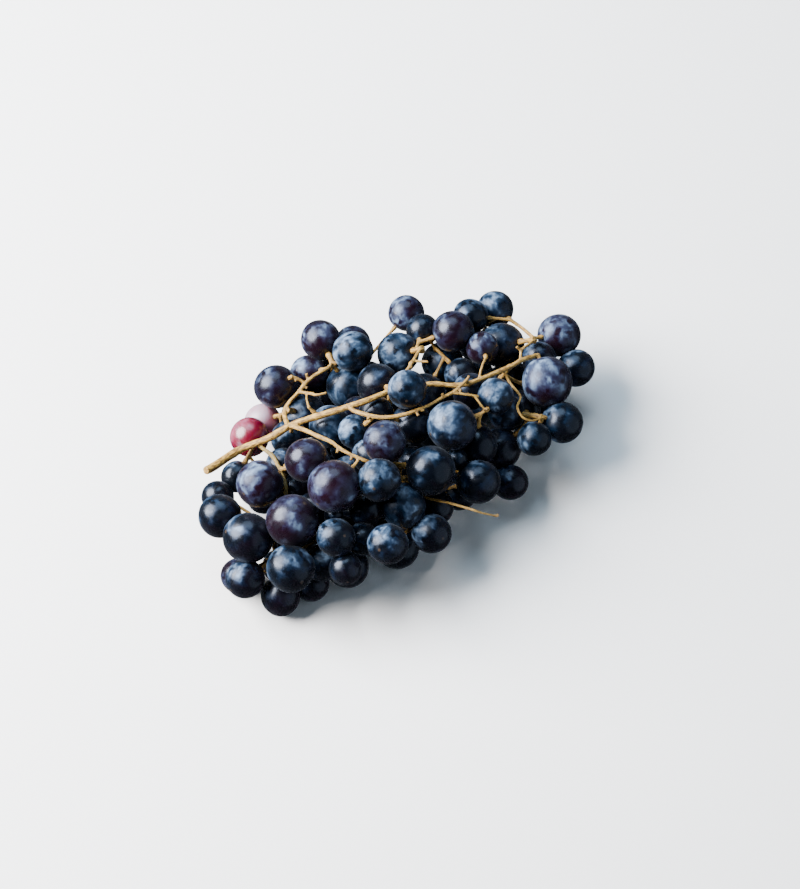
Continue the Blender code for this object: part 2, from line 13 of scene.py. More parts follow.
import bmesh
import bpy
import numpy as np
from bpy.types import Material, Mesh, NodeSocket, Object
from mathutils import Matrix, Vector
from mathutils.kdtree import KDTree
from numpy.linalg import norm


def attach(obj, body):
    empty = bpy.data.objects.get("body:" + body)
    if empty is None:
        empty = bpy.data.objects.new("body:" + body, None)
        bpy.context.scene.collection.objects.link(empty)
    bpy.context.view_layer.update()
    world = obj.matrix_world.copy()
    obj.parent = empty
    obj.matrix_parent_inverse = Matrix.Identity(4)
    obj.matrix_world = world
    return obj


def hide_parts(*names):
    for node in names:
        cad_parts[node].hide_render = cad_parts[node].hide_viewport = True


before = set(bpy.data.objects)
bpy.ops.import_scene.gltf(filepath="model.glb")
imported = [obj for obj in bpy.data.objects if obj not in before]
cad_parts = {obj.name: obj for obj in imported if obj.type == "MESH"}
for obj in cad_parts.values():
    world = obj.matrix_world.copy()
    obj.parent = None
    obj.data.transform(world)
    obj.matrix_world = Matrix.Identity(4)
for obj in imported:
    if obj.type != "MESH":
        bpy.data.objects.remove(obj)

log = logging.getLogger("grapes")

Array = np.ndarray
Triple = tuple[float, float, float]
Span = tuple[float, ...]
Value = NodeSocket | float | tuple[float, ...]
MM_PER_M = 1000


class Wax(Enum):
    """How the wax bloom and the skin of a berry look."""

    FROSTED = "blue skin under wax nearly all over"
    MOTTLED = "blue-black skin with wax in patches"
    PLUM = "purple skin with lilac wax"
    # BARE also darkens berries that lie deep in the bunch, where shade falls: partly painted shade.
    BARE = "dark skin with little wax left"
    CRIMSON = "unripe, deep red"
    BLUSH = "unripe, pale pink"


FROSTED, MOTTLED, PLUM, BARE, CRIMSON, BLUSH = Wax

# Berries of each spray: across, up, diameter, depth below the outer face, wax. The dark BARE look on
# berries deep in the bunch is partly painted shade.
SPRAYS: dict[str, list[tuple[float, float, float, float, Wax]]] = {
    "berries_upper_shoulder": [
        (-32.3, 44.3, 16.4, 0, PLUM), (-19.5, 40.5, 16.3, -10, FROSTED),
        (-19.0, 43.3, 14.5, 8, PLUM), (-48.8, 25.5, 17.8, 0, PLUM),
        (-36.0, 29.7, 15.5, 6, PLUM), (-41.5, 13.0, 18.5, 13, MOTTLED),
        (-20.7, 24.7, 18.7, 17, FROSTED), (-10.0, 25.3, 17.0, 16, BARE),
        (-32.0, 20.0, 14.0, 18, BARE)],
    "berries_unripe": [(-60.5, 5.2, 16.0, 2, CRIMSON), (-53.0, 12.0, 15.0, 8, BLUSH)],
    "berries_lower_shoulder": [
        (-4.3, 3.2, 17.2, 0, PLUM), (-7.6, -13.5, 17.2, 0, MOTTLED),
        (-26.0, -14.5, 20.8, -1, PLUM), (-36.8, -4.0, 17.6, 4, PLUM),
        (-16.5, 7.7, 13.8, 8, FROSTED), (-27.0, 8.5, 17.0, 15, MOTTLED),
        (-14.4, -2.7, 14.0, 14, MOTTLED), (-11.0, 15.0, 14.0, 16, BARE)],
    "berries_left_wing": [
        (-55.2, -13.2, 18.8, 0, PLUM), (-41.5, -27.6, 20.9, 0, PLUM),
        (-60.0, -35.6, 20.0, -2, BARE), (-71.7, -26.1, 17.5, 4, BARE),
        (-43.2, -46.2, 19.2, 0, MOTTLED), (-61.0, -50.7, 15.6, 6, BARE),
        (-64.3, -50.0, 14.0, 14, PLUM), (-46.0, -57.7, 16.0, 10, BARE),
        (-73.0, -18.5, 13.0, 12, BARE), (-65.0, -10.5, 13.0, 12, BARE),
        (-31.3, -44.7, 15.0, 10, MOTTLED), (-34.7, -51.5, 14.0, 15, BARE),
        (-45.5, -4.0, 14.0, 14, BARE), (-44.0, 4.5, 15.0, 18, MOTTLED),
        (-42.0, -15.0, 14.0, 15, BARE), (-31.0, -25.0, 14.0, 14, BARE)],
    "berries_near_side": [
        (-25.3, -34.3, 15.5, 8, MOTTLED), (-22.3, -46.0, 13.0, 10, BARE),
        (-5.2, -36.7, 16.3, 3, MOTTLED), (12.7, -33.3, 16.0, 3, MOTTLED),
        (0.5, -21.6, 18.0, 8, FROSTED), (12.8, -7.0, 19.8, 0, MOTTLED),
        (-14.4, -24.2, 14.0, 14, BARE), (14.0, -22.0, 14.5, 15, BARE),
        (-15.0, -35.0, 13.5, 13, BARE)],
    "berries_middle": [
        (20.8, 9.7, 20.0, 0, MOTTLED), (3.9, 21.9, 15.8, -3, FROSTED),
        (38.0, 23.5, 14.8, 0, FROSTED), (41.7, 13.3, 15.0, 10, MOTTLED),
        (17.6, 35.3, 17.3, 16, FROSTED), (4.7, 8.0, 17.0, 14, BARE),
        (30.7, 2.0, 17.0, 12, BARE), (40.3, 2.8, 17.0, 14, BARE),
        (31.3, -13.0, 17.6, 4, MOTTLED), (44.5, -13.5, 14.5, 14, BARE),
        (24.0, -17.5, 14.0, 14, BARE), (26.5, 24.0, 15.0, 16, BARE),
        (50.5, 17.5, 15.0, 16, BARE), (26.0, 33.0, 13.5, 14, BARE)],
    "berries_far_side": [
        (3.0, 55.3, 14.8, 0, PLUM), (9.5, 48.5, 13.5, 2, BARE),
        (21.1, 46.8, 16.8, -7, PLUM), (-1.2, 38.2, 17.2, 7, FROSTED),
        (28.7, 54.5, 14.4, 8, MOTTLED), (39.5, 57.0, 15.2, 10, MOTTLED),
        (41.7, 42.5, 18.6, 2, MOTTLED), (31.0, 39.3, 13.5, 5, PLUM)],
    "berries_tip": [
        (64.3, 47.0, 17.6, 0, PLUM), (71.7, 32.9, 15.4, 4, MOTTLED),
        (58.3, 26.6, 20.5, 0, PLUM), (66.0, 10.8, 16.8, 3, MOTTLED),
        (52.5, 4.0, 13.8, 5, FROSTED), (55.0, 39.0, 14.0, 14, BARE)],
}
UNRIPE_SPRAY = 1

# Branches: radius at the root, radius at the end, and points as
# across, up, lift over the outer berries' centres.
BRANCHES: dict[str, tuple[float, float, list[Triple]]] = {
    "peduncle": (2.4, 2.1, [
        (-77, -8.2, 6), (-74, -6.6, 4), (-64, 0, -1), (-52, 4.9, -3), (-44.5, 9.3, -3)]),
    "rachis": (2.0, 1.3, [
        (-44.5, 9.3, -3), (-40.7, 10.9, -3), (-34, 13, -2.5), (-24, 16, -2), (-14, 19.3, -2),
        (-7.3, 22, -3), (-3, 23.7, -4.5), (4.5, 25.3, -6.5), (12.7, 26.3, -5), (21.3, 25.7, -4),
        (26.7, 26.3, -4), (30.7, 27.7, -4), (38, 30.7, -4), (45.3, 34, -3), (49.3, 36.3, -2),
        (56, 38.3, -2)]),
    "upper_branch": (1.5, 1.0, [
        (-44.8, 9.6, -3), (-46.3, 14.7, -1), (-44.7, 18.7, 0), (-40.7, 23.3, 1),
        (-38, 26.7, 2), (-34.7, 29.7, 2), (-30.7, 32, 2), (-26.7, 34.3, 0)]),
    "upper_twig": (0.9, 0.8, [(-38.5, 26.5, 1.5), (-41, 28.6, 3), (-44, 29.6, 4)]),
    "cross_twig": (0.9, 0.8, [
        (-40.2, 23.6, 1), (-36, 22.7, 0), (-33.3, 22, -1), (-29.3, 22.8, -3)]),
    "hanging_twig": (0.8, 0.7, [(-37.6, 22.9, 0), (-37.3, 20.5, -1), (-36.3, 16.7, -3)]),
    "middle_branch": (1.4, 0.9, [
        (-20, 17.3, -2), (-18.3, 15.6, -1), (-13.3, 14, 0), (-8.7, 13, 0), (-4, 13, 0),
        (2, 14, 0), (7.3, 16, 0), (12, 18, 0), (16.7, 20.7, 0), (20.7, 22.7, 0),
        (24, 25.3, 0), (26.7, 28, 0)]),
    "middle_fork": (0.9, 0.8, [(20.7, 22.7, 0), (26.7, 22, 0), (31.3, 21.3, -1)]),
    "middle_hook": (0.8, 0.7, [(29.3, 21.6, -0.5), (32.7, 17.3, -2), (34.7, 15.3, -4)]),
    "lower_branch": (1.4, 1.0, [
        (-44, 9.2, -3), (-38, 8, -2.5), (-32, 5.3, -2), (-27.3, 3.3, -2), (-22.7, 0, -2),
        (-18.7, -2, -2), (-13.3, -4.3, -3), (-10, -5.3, -5), (-4, -6, -10)]),
    "far_branch": (1.2, 0.8, [
        (-4, 23.6, -4), (-1.3, 27.3, -2), (2, 30.7, -1), (4.7, 34.7, 0), (7.3, 39, -1),
        (9.3, 40.7, -2)]),
    "far_twig": (0.8, 0.7, [(3.2, 32.8, -0.5), (4.7, 35.3, -0.5), (11.3, 35.3, 0)]),
    "tip_twig": (0.9, 0.7, [(48.2, 35.8, -2), (48.7, 40, 1), (50.7, 41.7, 2), (54.7, 44.7, 2)]),
    "rachis_twig": (0.8, 0.7, [(31.2, 28, -4), (33, 34, -2), (34.7, 37.3, -4)]),
    "wing_branch": (1.3, 1.1, [
        (-58, 2.6, -2), (-53, -0.5, -7), (-50, -3.2, -9), (-47, -9, -11), (-45, -16, -12),
        (-48, -26, -14), (-50, -38, -14)]),
    "bare_twig": (1.0, 0.6, [
        (5, -15, -20), (10, -18.7, -13), (18.7, -20.7, -7), (28, -23.3, 2), (32, -24.7, 6),
        (38, -26, 10)]),
    "tip_hook": (0.9, 0.7, [
        (44, 27, -7), (48, 21.3, -3), (46.7, 17.3, -3), (48.7, 13.3, -3), (52, 11.7, -3),
        (55.3, 12.3, -3), (57.3, 13.3, -4)]),
}

# Spurs where berries were picked: the same three numbers, then length and lean.
SPURS: list[tuple[float, float, float, float, float]] = [
    (-37.3, 29.0, 2.0, 1.8, 100), (-25.7, 34.6, 0.5, 1.6, 150), (-28.8, 33.6, 1.0, 1.7, 40),
    (-40.9, 28.4, 3.0, 1.5, 200), (1.7, 30.3, -1.0, 2.6, 170), (3.4, 33.2, -0.5, 1.5, 350),
    (48.3, 40.2, 1.0, 2.0, 140), (26.7, 28.0, 0.0, 1.8, 60), (22.7, 24.4, 0.0, 1.9, 330),
    (17.5, 21.0, 0.0, 1.6, 120), (8.9, 16.7, 0.0, 1.5, 280), (-19.0, -1.6, -2.0, 2.4, 265),
    (-24.4, 1.0, -2.0, 2.2, 260), (-12.0, 13.8, 0.0, 2.0, 250), (6.3, 15.4, 0.0, 2.2, 300),
    (33.4, 16.4, -2.5, 1.6, 350), (-38.6, 25.6, 1.5, 1.6, 330), (38.0, -26.0, 10.0, 1.0, 20)]


def unit(vector: Array) -> Array:
    """Return the vector at length one."""
    return vector / norm(vector)


def smooth_path(points: Array, step: float) -> Array:
    """Lead a smooth curve through points.

    Args:
        points: The points that the curve passes.
        step: About how far apart its own points are.

    Returns:
        Points on the curve, the first and last given ones among them.
    """
    held = np.vstack([2 * points[0] - points[1], points, 2 * points[-1] - points[-2]])
    path = []
    for i in range(1, len(held) - 2):
        p, q, r, s = held[i - 1:i + 3]
        count = max(1, int(round(norm(r - q) / step)))
        for k in range(count):
            t = k / count
            bend = (2 * p - 5 * q + 4 * r - s) * t * t + (-p + 3 * q - 3 * r + s) * t ** 3
            path.append(0.5 * (2 * q + (r - p) * t + bend))
    path.append(points[-1])
    return np.array(path)


def close_points(path: Array, step: float = 1.6) -> Array:
    """Return points a short step apart along a chain of straight pieces."""
    points = []
    for p, q in zip(path, path[1:]):
        count = max(1, int(round(norm(q - p) / step)))
        points += [p + (q - p) * k / count for k in range(count)]
    return np.array(points + [path[-1]])


def room_at(points: Array, centres: Array, radii: Array) -> Array:
    """Return how far each point lies from each ball's surface, a row for each point."""
    return norm(points[:, None] - centres, axis=2) - radii


def ring_faces(first: int, rings: int, count: int, turned: bool = False) -> list[tuple[int, ...]]:
    """Return faces over rings of points that follow each other.

    Args:
        first: The number of the first ring's first point.
        rings: How many rings there are.
        count: How many points a ring has.
        turned: Whether the faces look the other way.

    Returns:
        Four numbers of points for each face.
    """
    faces = []
    for low in range(first, first + (rings - 1) * count, count):
        for n in range(count):
            m = (n + 1) % count
            face = (low + n, low + count + n, low + count + m, low + m)
            faces.append(face[:1] + face[:0:-1] if turned else face)
    return faces


def write_layers(mesh: Mesh, layers: dict[str, Array]) -> None:
    """Write values on a mesh's points: one each, or a vector where a row holds three."""
    for name, values in layers.items():
        kind, key = ("FLOAT_VECTOR", "vector") if values.ndim > 1 else ("FLOAT", "value")
        layer = mesh.attributes.new(name, kind, "POINT")
        layer.data.foreach_set(key, values.astype(np.float32).ravel())


def show(name: str, data: bpy.types.ID) -> Object:
    """Return a new object in the scene with a mesh, light or camera."""
    thing = bpy.data.objects.new(name, data)
    bpy.context.scene.collection.objects.link(thing)
    return thing


@dataclass(frozen=True)
class Sheet:
    """The tilted sheet that the bunch is laid out on, in millimetres."""

    tilt: float = radians(60)
    turn: float = radians(37)
    height: float = 24.0
    half_sizes: Triple = (88.0, 52.0, 32.0)
    outer_inset: float = 9.0

    @property
    def right(self) -> Array:
        """Across the sheet, in the part's frame."""
        return np.array([cos(self.turn), -sin(self.turn), 0.0])

    @property
    def out(self) -> Array:
        """Out of the sheet, towards the camera, in the part's frame."""
        flat = cos(self.tilt)
        return np.array([-flat * sin(self.turn), -flat * cos(self.turn), sin(self.tilt)])

    @property
    def axes(self) -> Array:
        """The sheet's three directions as columns."""
        return np.stack([self.right, np.cross(self.out, self.right), self.out], axis=1)

    def outer_face(self, across: float, up: float) -> float:
        """Return how far out the outer berries' centres lie over a point."""
        half = np.array(self.half_sizes) - self.outer_inset
        start = self.axes @ np.array([across, up, 0.0])
        a = np.sum((self.out / half) ** 2)
        b = 2 * np.sum(start * self.out / half ** 2)
        c = np.sum((start / half) ** 2) - 1
        return (-b + sqrt(max(b * b - 4 * a * c, 0))) / (2 * a)

    def raised(self, points: list[tuple[float, ...]]) -> Array:
        """Return rows of across, up, lift as places on the sheet."""
        return np.array([(u, v, self.outer_face(u, v) + lift) for u, v, lift, *_ in points])

    def to_row(self, points: Array, shift: Array) -> Array:
        """Return places of the sheet in the part's frame, in metres."""
        return (points @ self.axes.T + np.array([0, 0, self.height]) + shift) / MM_PER_M


@dataclass
class Cluster:
    """Berries on the sheet: centres, radii and the number of each one's spray."""

    centres: Array
    radii: Array
    sprays: Array

    def add(self, centre: Array, radius: float, spray: int) -> None:
        """Add one berry."""
        self.centres = np.vstack([self.centres, centre])
        self.radii = np.append(self.radii, radius)
        self.sprays = np.append(self.sprays, spray)


@dataclass
class Boughs:
    """The branches, each rooted on the nearest wood before it."""

    sheet: Sheet
    root_snap: float = 2.5
    girth: float = 0.79

    def paths(self, step: float) -> dict[str, tuple[Array, Array]]:
        """Lead every branch.

        Args:
            step: About how far apart the points of a path are.

        Returns:
            Points and radii of each branch by name.
        """
        found: dict[str, tuple[Array, Array]] = {}
        wood = None
        for name, (first, last, points) in BRANCHES.items():
            raised = self.sheet.raised(points)
            if wood is not None:
                away = norm(wood - raised[0], axis=1)
                kept = raised[1:] if away.min() < self.root_snap else raised
                raised = np.vstack([wood[away.argmin()], kept])
            path = smooth_path(raised, step)
            found[name] = (path, np.linspace(first, last, len(path)) * self.girth)
            dense = close_points(path)
            wood = dense if wood is None else np.vstack([wood, dense])
        return found

    @staticmethod
    def wood(paths: dict[str, tuple[Array, Array]]) -> tuple[Array, Array]:
        """Return close points along all branches, and the radius at each."""
        points, radii = [], []
        for path, ends in paths.values():
            dense = close_points(path)
            points.append(dense)
            radii.append(np.linspace(ends[0], ends[-1], len(dense)))
        return np.vstack(points), np.concatenate(radii)


@dataclass
class InnerFill:
    """Berries in the room under the outer ones."""

    sheet: Sheet
    seed: int = 4
    tries: int = 14000
    count: int = 41
    smallest: float = 6.7
    largest: float = 8.6
    depth: float = 13.0
    below: float = 6.0
    cover: float = 0.7
    least_room: float = 4.9
    least_height: float = 7.5
    wood_gap: float = 0.6
    insets: Triple = (14.0, 9.0, 8.0)

    def spots(self, berries: Cluster) -> Array:
        """Return random places inside the bunch that the outer berries cover."""
        rng = np.random.default_rng(self.seed)
        spots = rng.uniform(-1, 1, size=(self.tries, 3))
        inner = np.array(self.sheet.half_sizes) - np.array(self.insets)
        spots = spots[(spots ** 2).sum(axis=1) < 1] * inner
        spots = spots[spots[:, 2] > self.least_height - self.sheet.height] @ self.sheet.axes
        faces = np.array([self.sheet.outer_face(across, up) for across, up, _ in spots])
        spots = spots[spots[:, 2] < faces - self.depth]
        aside = norm(spots[:, None, :2] - berries.centres[None, :, :2], axis=2)
        under = spots[:, None, 2] < berries.centres[None, :, 2] - self.below
        return spots[((aside < berries.radii * self.cover) & under).any(axis=1)]

    def fill(self, berries: Cluster, wood: Array, wood_radii: Array) -> None:
        """Add inner berries, each in the widest room left.

        Args:
            berries: The outer berries, which the inner ones are added to.
            wood: Close points along the branches.
            wood_radii: The branch's radius at each of them.
        """
        spots = self.spots(berries)
        room = room_at(spots, berries.centres, berries.radii).min(axis=1)
        wood_room = room_at(spots, wood, wood_radii).min(axis=1)
        room = np.minimum(room, wood_room - self.wood_gap)
        for _ in range(self.count):
            pick = int(room.argmax())
            if room[pick] < self.least_room:
                break
            spot = spots[pick]
            radius = np.clip(room[pick], self.smallest, self.largest)
            near = norm(berries.centres - spot, axis=1) - berries.radii
            near[berries.sprays == UNRIPE_SPRAY] = np.inf
            berries.add(spot, radius, berries.sprays[near.argmin()])
            room = np.minimum(room, norm(spots - spot, axis=1) - radius)


@dataclass
class Settling:
    """How the berries come to lie: bonded ones press together, the others clear."""

    sheet: Sheet
    wood: Array
    wood_radii: Array
    press: float = 1.3
    gap: float = 0.5
    wood_gap: float = 0.6
    table_sink: float = 0.6
    loose_share: float = 0.8
    bond_rounds: int = 50
    pull: float = 0.25
    outer_pull: float = 0.4
    push: float = 0.35
    wood_push: Triple = (0.3, 0.3, 0.9)
    outer_hold: Triple = (0.35, 0.35, 0.01)
    inner_hold: float = 0.06
    fall: float = 0.08
    longest_move: float = 1.5
    least_length: float = 1e-9

    def bonds(self, berries: Cluster) -> Array:
        """Return pairs of berries that hold each spray together as a tree."""
        centres, radii = berries.centres, berries.radii
        found = []
        for number in np.unique(berries.sprays):
            rest = list(np.nonzero(berries.sprays == number)[0])
            done = [rest.pop(0)]
            while rest:
                _, a, b = min(
                    (norm(centres[a] - centres[b]) - radii[a] - radii[b], a, b)
                    for a in done for b in rest)
                found.append((a, b))
                done.append(b)
                rest.remove(b)
        return np.array(found)

    def bond_pull(self, berries: Cluster, bonds: Array) -> Array:
        """Return moves that bring bonded berries together until they press."""
        a, b = bonds.T
        move = np.zeros_like(berries.centres)
        link = berries.centres[b] - berries.centres[a]
        length = norm(link, axis=1, keepdims=True)
        reach = (berries.radii[a] + berries.radii[b] - self.press)[:, None]
        pull = np.clip(length - reach, 0, None) / length * link * self.pull
        np.add.at(move, a, pull)
        np.add.at(move, b, -pull)
        return move

    def apart_push(self, berries: Cluster, bonds: Array) -> Array:
        """Return moves that clear berries of each other, or let bonded ones press."""
        a, b = bonds.T
        reach = berries.radii[:, None] + berries.radii[None] + self.gap
        reach[a, b] -= self.gap + self.press
        reach[b, a] -= self.gap + self.press
        np.fill_diagonal(reach, 0)
        apart = berries.centres[:, None] - berries.centres[None]
        length = norm(apart, axis=2) + self.least_length
        over = np.clip(reach - length, 0, None)
        return (apart / length[..., None] * over[..., None]).sum(axis=1) * self.push

    def off_wood(self, berries: Cluster) -> Array:
        """Return moves that clear each berry of the wood that it meets deepest."""
        off = berries.centres[:, None] - self.wood[None]
        length = norm(off, axis=2)
        reach = berries.radii[:, None] + self.wood_radii[None] + self.wood_gap
        over = np.clip(reach - length, 0, None)
        worst = over.argmax(axis=1)
        row = np.arange(len(berries.centres))
        share = over[row, worst] / length[row, worst]
        return off[row, worst] * share[:, None] * np.array(self.wood_push)

    def settle(self, berries: Cluster, home: Array, rounds: int) -> None:
        """Move the berries until they lie as in the bunch.

        Args:
            berries: The berries, the outer ones first. Their centres change.
            home: Places that the outer ones are held near.
            rounds: How many times every berry moves.
        """
        start = berries.centres
        outer = np.arange(len(start)) < len(home)
        lean = self.sheet.axes[2]
        for turn in range(rounds):
            loose = turn < rounds * self.loose_share
            if turn % self.bond_rounds == 0 and loose:
                bonds = self.bonds(berries)
            move = self.bond_pull(berries, bonds)
            if loose:
                move[outer, :2] *= self.outer_pull
                move[outer] += (home - berries.centres[outer]) * np.array(self.outer_hold)
                move[~outer, :2] += (start - berries.centres)[~outer, :2] * self.inner_hold
                move[~outer, 2] -= self.fall
            move += self.apart_push(berries, bonds)
            move += self.off_wood(berries)
            centres = berries.centres + np.clip(move, -self.longest_move, self.longest_move)
            low = berries.radii - self.table_sink - centres @ lean - self.sheet.height
            centres[:, 2] += np.clip(low, 0, None) / lean[2]
            berries.centres = centres


class Wood:
    """Points of the wood that a pedicel may grow from."""

    BARE = ("peduncle", "bare_twig")
    LENGTH = 6.0
    SHORT_COST = 2.0
    CROSSING_COST = 4.0

    def __init__(self, paths: dict[str, tuple[Array, Array]]) -> None:
        """Take in the branches, or only the ends of twigs and hooks."""
        self.points: list[Array] = []
        self.heads: list[Array] = []
        self.owners: list[str | int] = []
        self.tips: list[bool] = []
        for name, (path, _) in paths.items():
            if name not in self.BARE:
                self.add(close_points(path), name, "twig" in name or "hook" in name)

    def add(self, dense: Array, owner: str | int, ends_only: bool = False) -> None:
        """Take in points along a branch or a pedicel.

        Args:
            dense: Close points along it.
            owner: The branch's name or the number of the pedicel's berry.
            ends_only: Whether a pedicel grows only from its end.
        """
        first = len(dense) - 1 if ends_only else 1
        for k in range(first, len(dense)):
            tip = k == len(dense) - 1 and isinstance(owner, str)
            head = dense[k] - dense[k - 1]
            self.points.append(dense[k] - 0.5 * head if tip else dense[k])
            self.heads.append(head)
            self.owners.append(owner)
            self.tips.append(tip)

    def costs(self, fresh: int, number: int, berries: Cluster, seat_gap: float) -> Array:
        """Return what a pedicel to a berry costs from each point since the fresh one."""
        starts = np.array(self.points[fresh:])
        target = berries.centres[number]
        line = target - starts
        length = norm(line, axis=1)
        free = length - berries.radii[number]
        short = self.SHORT_COST * np.clip(self.LENGTH - free, 0, None)
        cost = np.where(self.tips[fresh:], free, np.maximum(free, self.LENGTH) + short)
        line = line / length[:, None]
        away = berries.centres[None] - starts[:, None]
        along = np.clip((away * line[:, None]).sum(axis=2), 0, length[:, None])
        miss = norm(away - along[..., None] * line[:, None], axis=2)
        chord = 2 * np.sqrt(np.clip((berries.radii + seat_gap) ** 2 - miss ** 2, 0, None))
        chord[:, number] = 0
        return cost + self.CROSSING_COST * chord.sum(axis=1)


@dataclass
class Pedicels:
    """The short stalk of each berry, led clear of the other berries."""

    berries: Cluster
    radius: float = 0.75
    least_radius: float = 0.4
    growth: float = 0.45
    seat: float = 1.5
    seat_gap: float = 0.35
    clear: float = 0.45
    spare_clear: float = 0.3
    bow: float = 0.25
    facet_reach: float = 1.02
    rounds: int = 120
    push: float = 0.7
    stiffness: float = 0.05
    forking_share: float = 0.8
    grown: dict[int, Array] = field(default_factory=dict)
    carried: Array | None = None
    seats: Array | None = None

    def off_piece(self, path: Array, k: int) -> tuple[Array, Array]:
        """Return steps from the berries to a path's piece, and where they meet it."""
        piece = path[k + 1] - path[k]
        along = np.clip((self.berries.centres - path[k]) @ piece / (piece @ piece), 0, 1)
        return path[k] + along[:, None] * piece - self.berries.centres, along

    def room_round(self, path: Array, number: int) -> Array:
        """Return how near each piece comes to berries other than its own seat."""
        room = []
        for k in range(len(path) - 1):
            off, _ = self.off_piece(path, k)
            free = norm(off, axis=1) - self.berries.radii * self.facet_reach
            if k == len(path) - 2:
                free[number] = np.inf
            room.append(free.min())
        return np.array(room)

    def bend_clear(self, path: Array, number: int) -> Array:
        """Return the path with its inner points bent clear of the berries."""
        path = path.copy()
        centre = self.berries.centres[number]
        reach = self.berries.radii * self.facet_reach + self.radius + self.clear
        seat = self.berries.radii[number] * self.facet_reach + self.seat_gap
        for _ in range(self.rounds):
            move = np.zeros_like(path)
            for k in range(len(path) - 1):
                off, along = self.off_piece(path, k)
                miss = norm(off, axis=1)
                deep = reach - miss
                if k == len(path) - 2:
                    deep[number] = 0
                near = int(deep.argmax())
                push = off[near] / miss[near] * max(deep[near], 0)
                move[k] += push * (1 - along[near])
                move[k + 1] += push * along[near]
            straight = 0.5 * (path[:-2] + path[2:]) - path[1:-1]
            path[1:-1] += self.push * move[1:-1] + self.stiffness * straight
            path[-1] = centre + unit(path[-2] - centre) * seat
        return path

    def lead(self, start: Array, head: Array, number: int) -> Array:
        """Lead a pedicel that leaves the wood along its run.

        Args:
            start: Where it leaves the wood.
            head: The wood's own direction there.
            number: The berry that it ends on.

        Returns:
            Five points from the wood to the berry.
        """
        reach = self.berries.centres[number] - start
        free = norm(reach) - self.berries.radii[number]
        bow = start + self.bow * free * (unit(head) + unit(reach))
        end = 0.5 * (bow + self.berries.centres[number])
        t = np.linspace(0, 1, 5)[:, None]
        path = (1 - t) ** 2 * start + 2 * t * (1 - t) * bow + t ** 2 * end
        return self.bend_clear(path, number)

    def spare(self, path: Array, number: int) -> Array:
        """Return the fewest of the five points that keep a pedicel clear."""
        least = self.radius + self.spare_clear
        for kept in ((0, 2, 4), (0, 1, 4), (0, 3, 4), (0, 1, 3, 4), (0, 1, 2, 4), (0, 2, 3, 4)):
            fewer = path[list(kept)]
            if self.room_round(fewer, number).min() >= least:
                return fewer
        return path

    def grow(self, wood: Wood) -> None:
        """Lead a pedicel to every berry from the cheapest point of the wood so far."""
        total = len(self.berries.centres)
        best = np.full(total, np.inf)
        origin = np.zeros(total, int)
        self.seats = np.zeros((total, 3))
        self.carried = np.ones(total, int)
        parents: dict[int, str | int] = {}
        fresh = 0
        waiting = set(range(total))
        while waiting:
            if fresh < len(wood.points):
                for number in waiting:
                    cost = wood.costs(fresh, number, self.berries, self.seat_gap)
                    pick = int(cost.argmin())
                    if cost[pick] < best[number]:
                        best[number] = cost[pick]
                        origin[number] = fresh + pick
            fresh = len(wood.points)
            number = min(waiting, key=lambda k: best[k])
            waiting.remove(number)
            root = origin[number]
            path = self.lead(wood.points[root], wood.heads[root], number)
            path = self.spare(path, number)
            self.seats[number] = unit(path[-1] - self.berries.centres[number])
            if self.room_round(path, number).min() < self.least_radius + self.seat_gap:
                continue
            self.grown[number] = path
            parent = parents[number] = wood.owners[root]
            while parent in parents:
                self.carried[parent] += 1
                parent = parents[parent]
            dense = close_points(path)
            wood.add(dense[1:int(self.forking_share * len(dense))], number)

    def radii_along(self, number: int) -> Array:
        """Return a pedicel's radii: thicker where more berries hang, never in one."""
        path = self.grown[number]
        root = self.radius * self.carried[number] ** self.growth
        wanted = np.linspace(root, self.radius, len(path))
        wanted[-1] = self.radius * self.seat
        room = self.room_round(path, number) - self.seat_gap
        limit = np.minimum(np.append(room, np.inf), np.append(np.inf, room))
        return np.clip(wanted, self.least_radius, np.maximum(limit, self.least_radius))


class Bunch:
    """The whole layout: where every berry, branch and pedicel of the part lies."""

    BRANCH_STEP = 6.0
    FINE_STEP = 1.0
    FIRST_ROUNDS = 200
    LAST_ROUNDS = 600

    def __init__(self) -> None:
        """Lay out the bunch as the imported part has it."""
        self.sheet = Sheet()
        boughs = Boughs(self.sheet)
        coarse = boughs.paths(self.BRANCH_STEP)
        self.boughs = boughs.paths(self.FINE_STEP)
        wood, wood_radii = boughs.wood(coarse)
        self.berries, self.waxes = self.outer_berries()
        home = self.berries.centres
        settling = Settling(self.sheet, wood, wood_radii)
        settling.settle(self.berries, home, self.FIRST_ROUNDS)
        InnerFill(self.sheet).fill(self.berries, wood, wood_radii)
        settling.settle(self.berries, home, self.LAST_ROUNDS)
        self.pedicels = Pedicels(self.berries)
        self.pedicels.grow(Wood(coarse))
        self.shift = self.centring_shift(wood, wood_radii)

    def outer_berries(self) -> tuple[Cluster, list[Wax]]:
        """Return the outer berries as tabled, and the wax of each."""
        rows = [(number, *row) for number, spray in enumerate(SPRAYS.values()) for row in spray]
        sprays, across, up, diameters, depths, waxes = zip(*rows)
        out = [self.sheet.outer_face(u, v) - depth for u, v, depth in zip(across, up, depths)]
        centres = np.column_stack([across, up, out])
        return Cluster(centres, np.array(diameters) / 2, np.array(sprays)), list(waxes)

    def centring_shift(self, wood: Array, wood_radii: Array) -> Array:
        """Return the sideways move that puts the origin under the middle."""
        points = np.vstack([self.berries.centres, wood])
        points = self.sheet.to_row(points, np.zeros(3)) * MM_PER_M
        sizes = np.append(self.berries.radii, wood_radii)[:, None]
        middle = ((points - sizes).min(axis=0) + (points + sizes).max(axis=0)) / 2
        return np.array([-middle[0], -middle[1], 0.0])

    def place(self, points: Array) -> Array:
        """Return places of the sheet in the part's frame, in metres."""
        return self.sheet.to_row(points, self.shift)


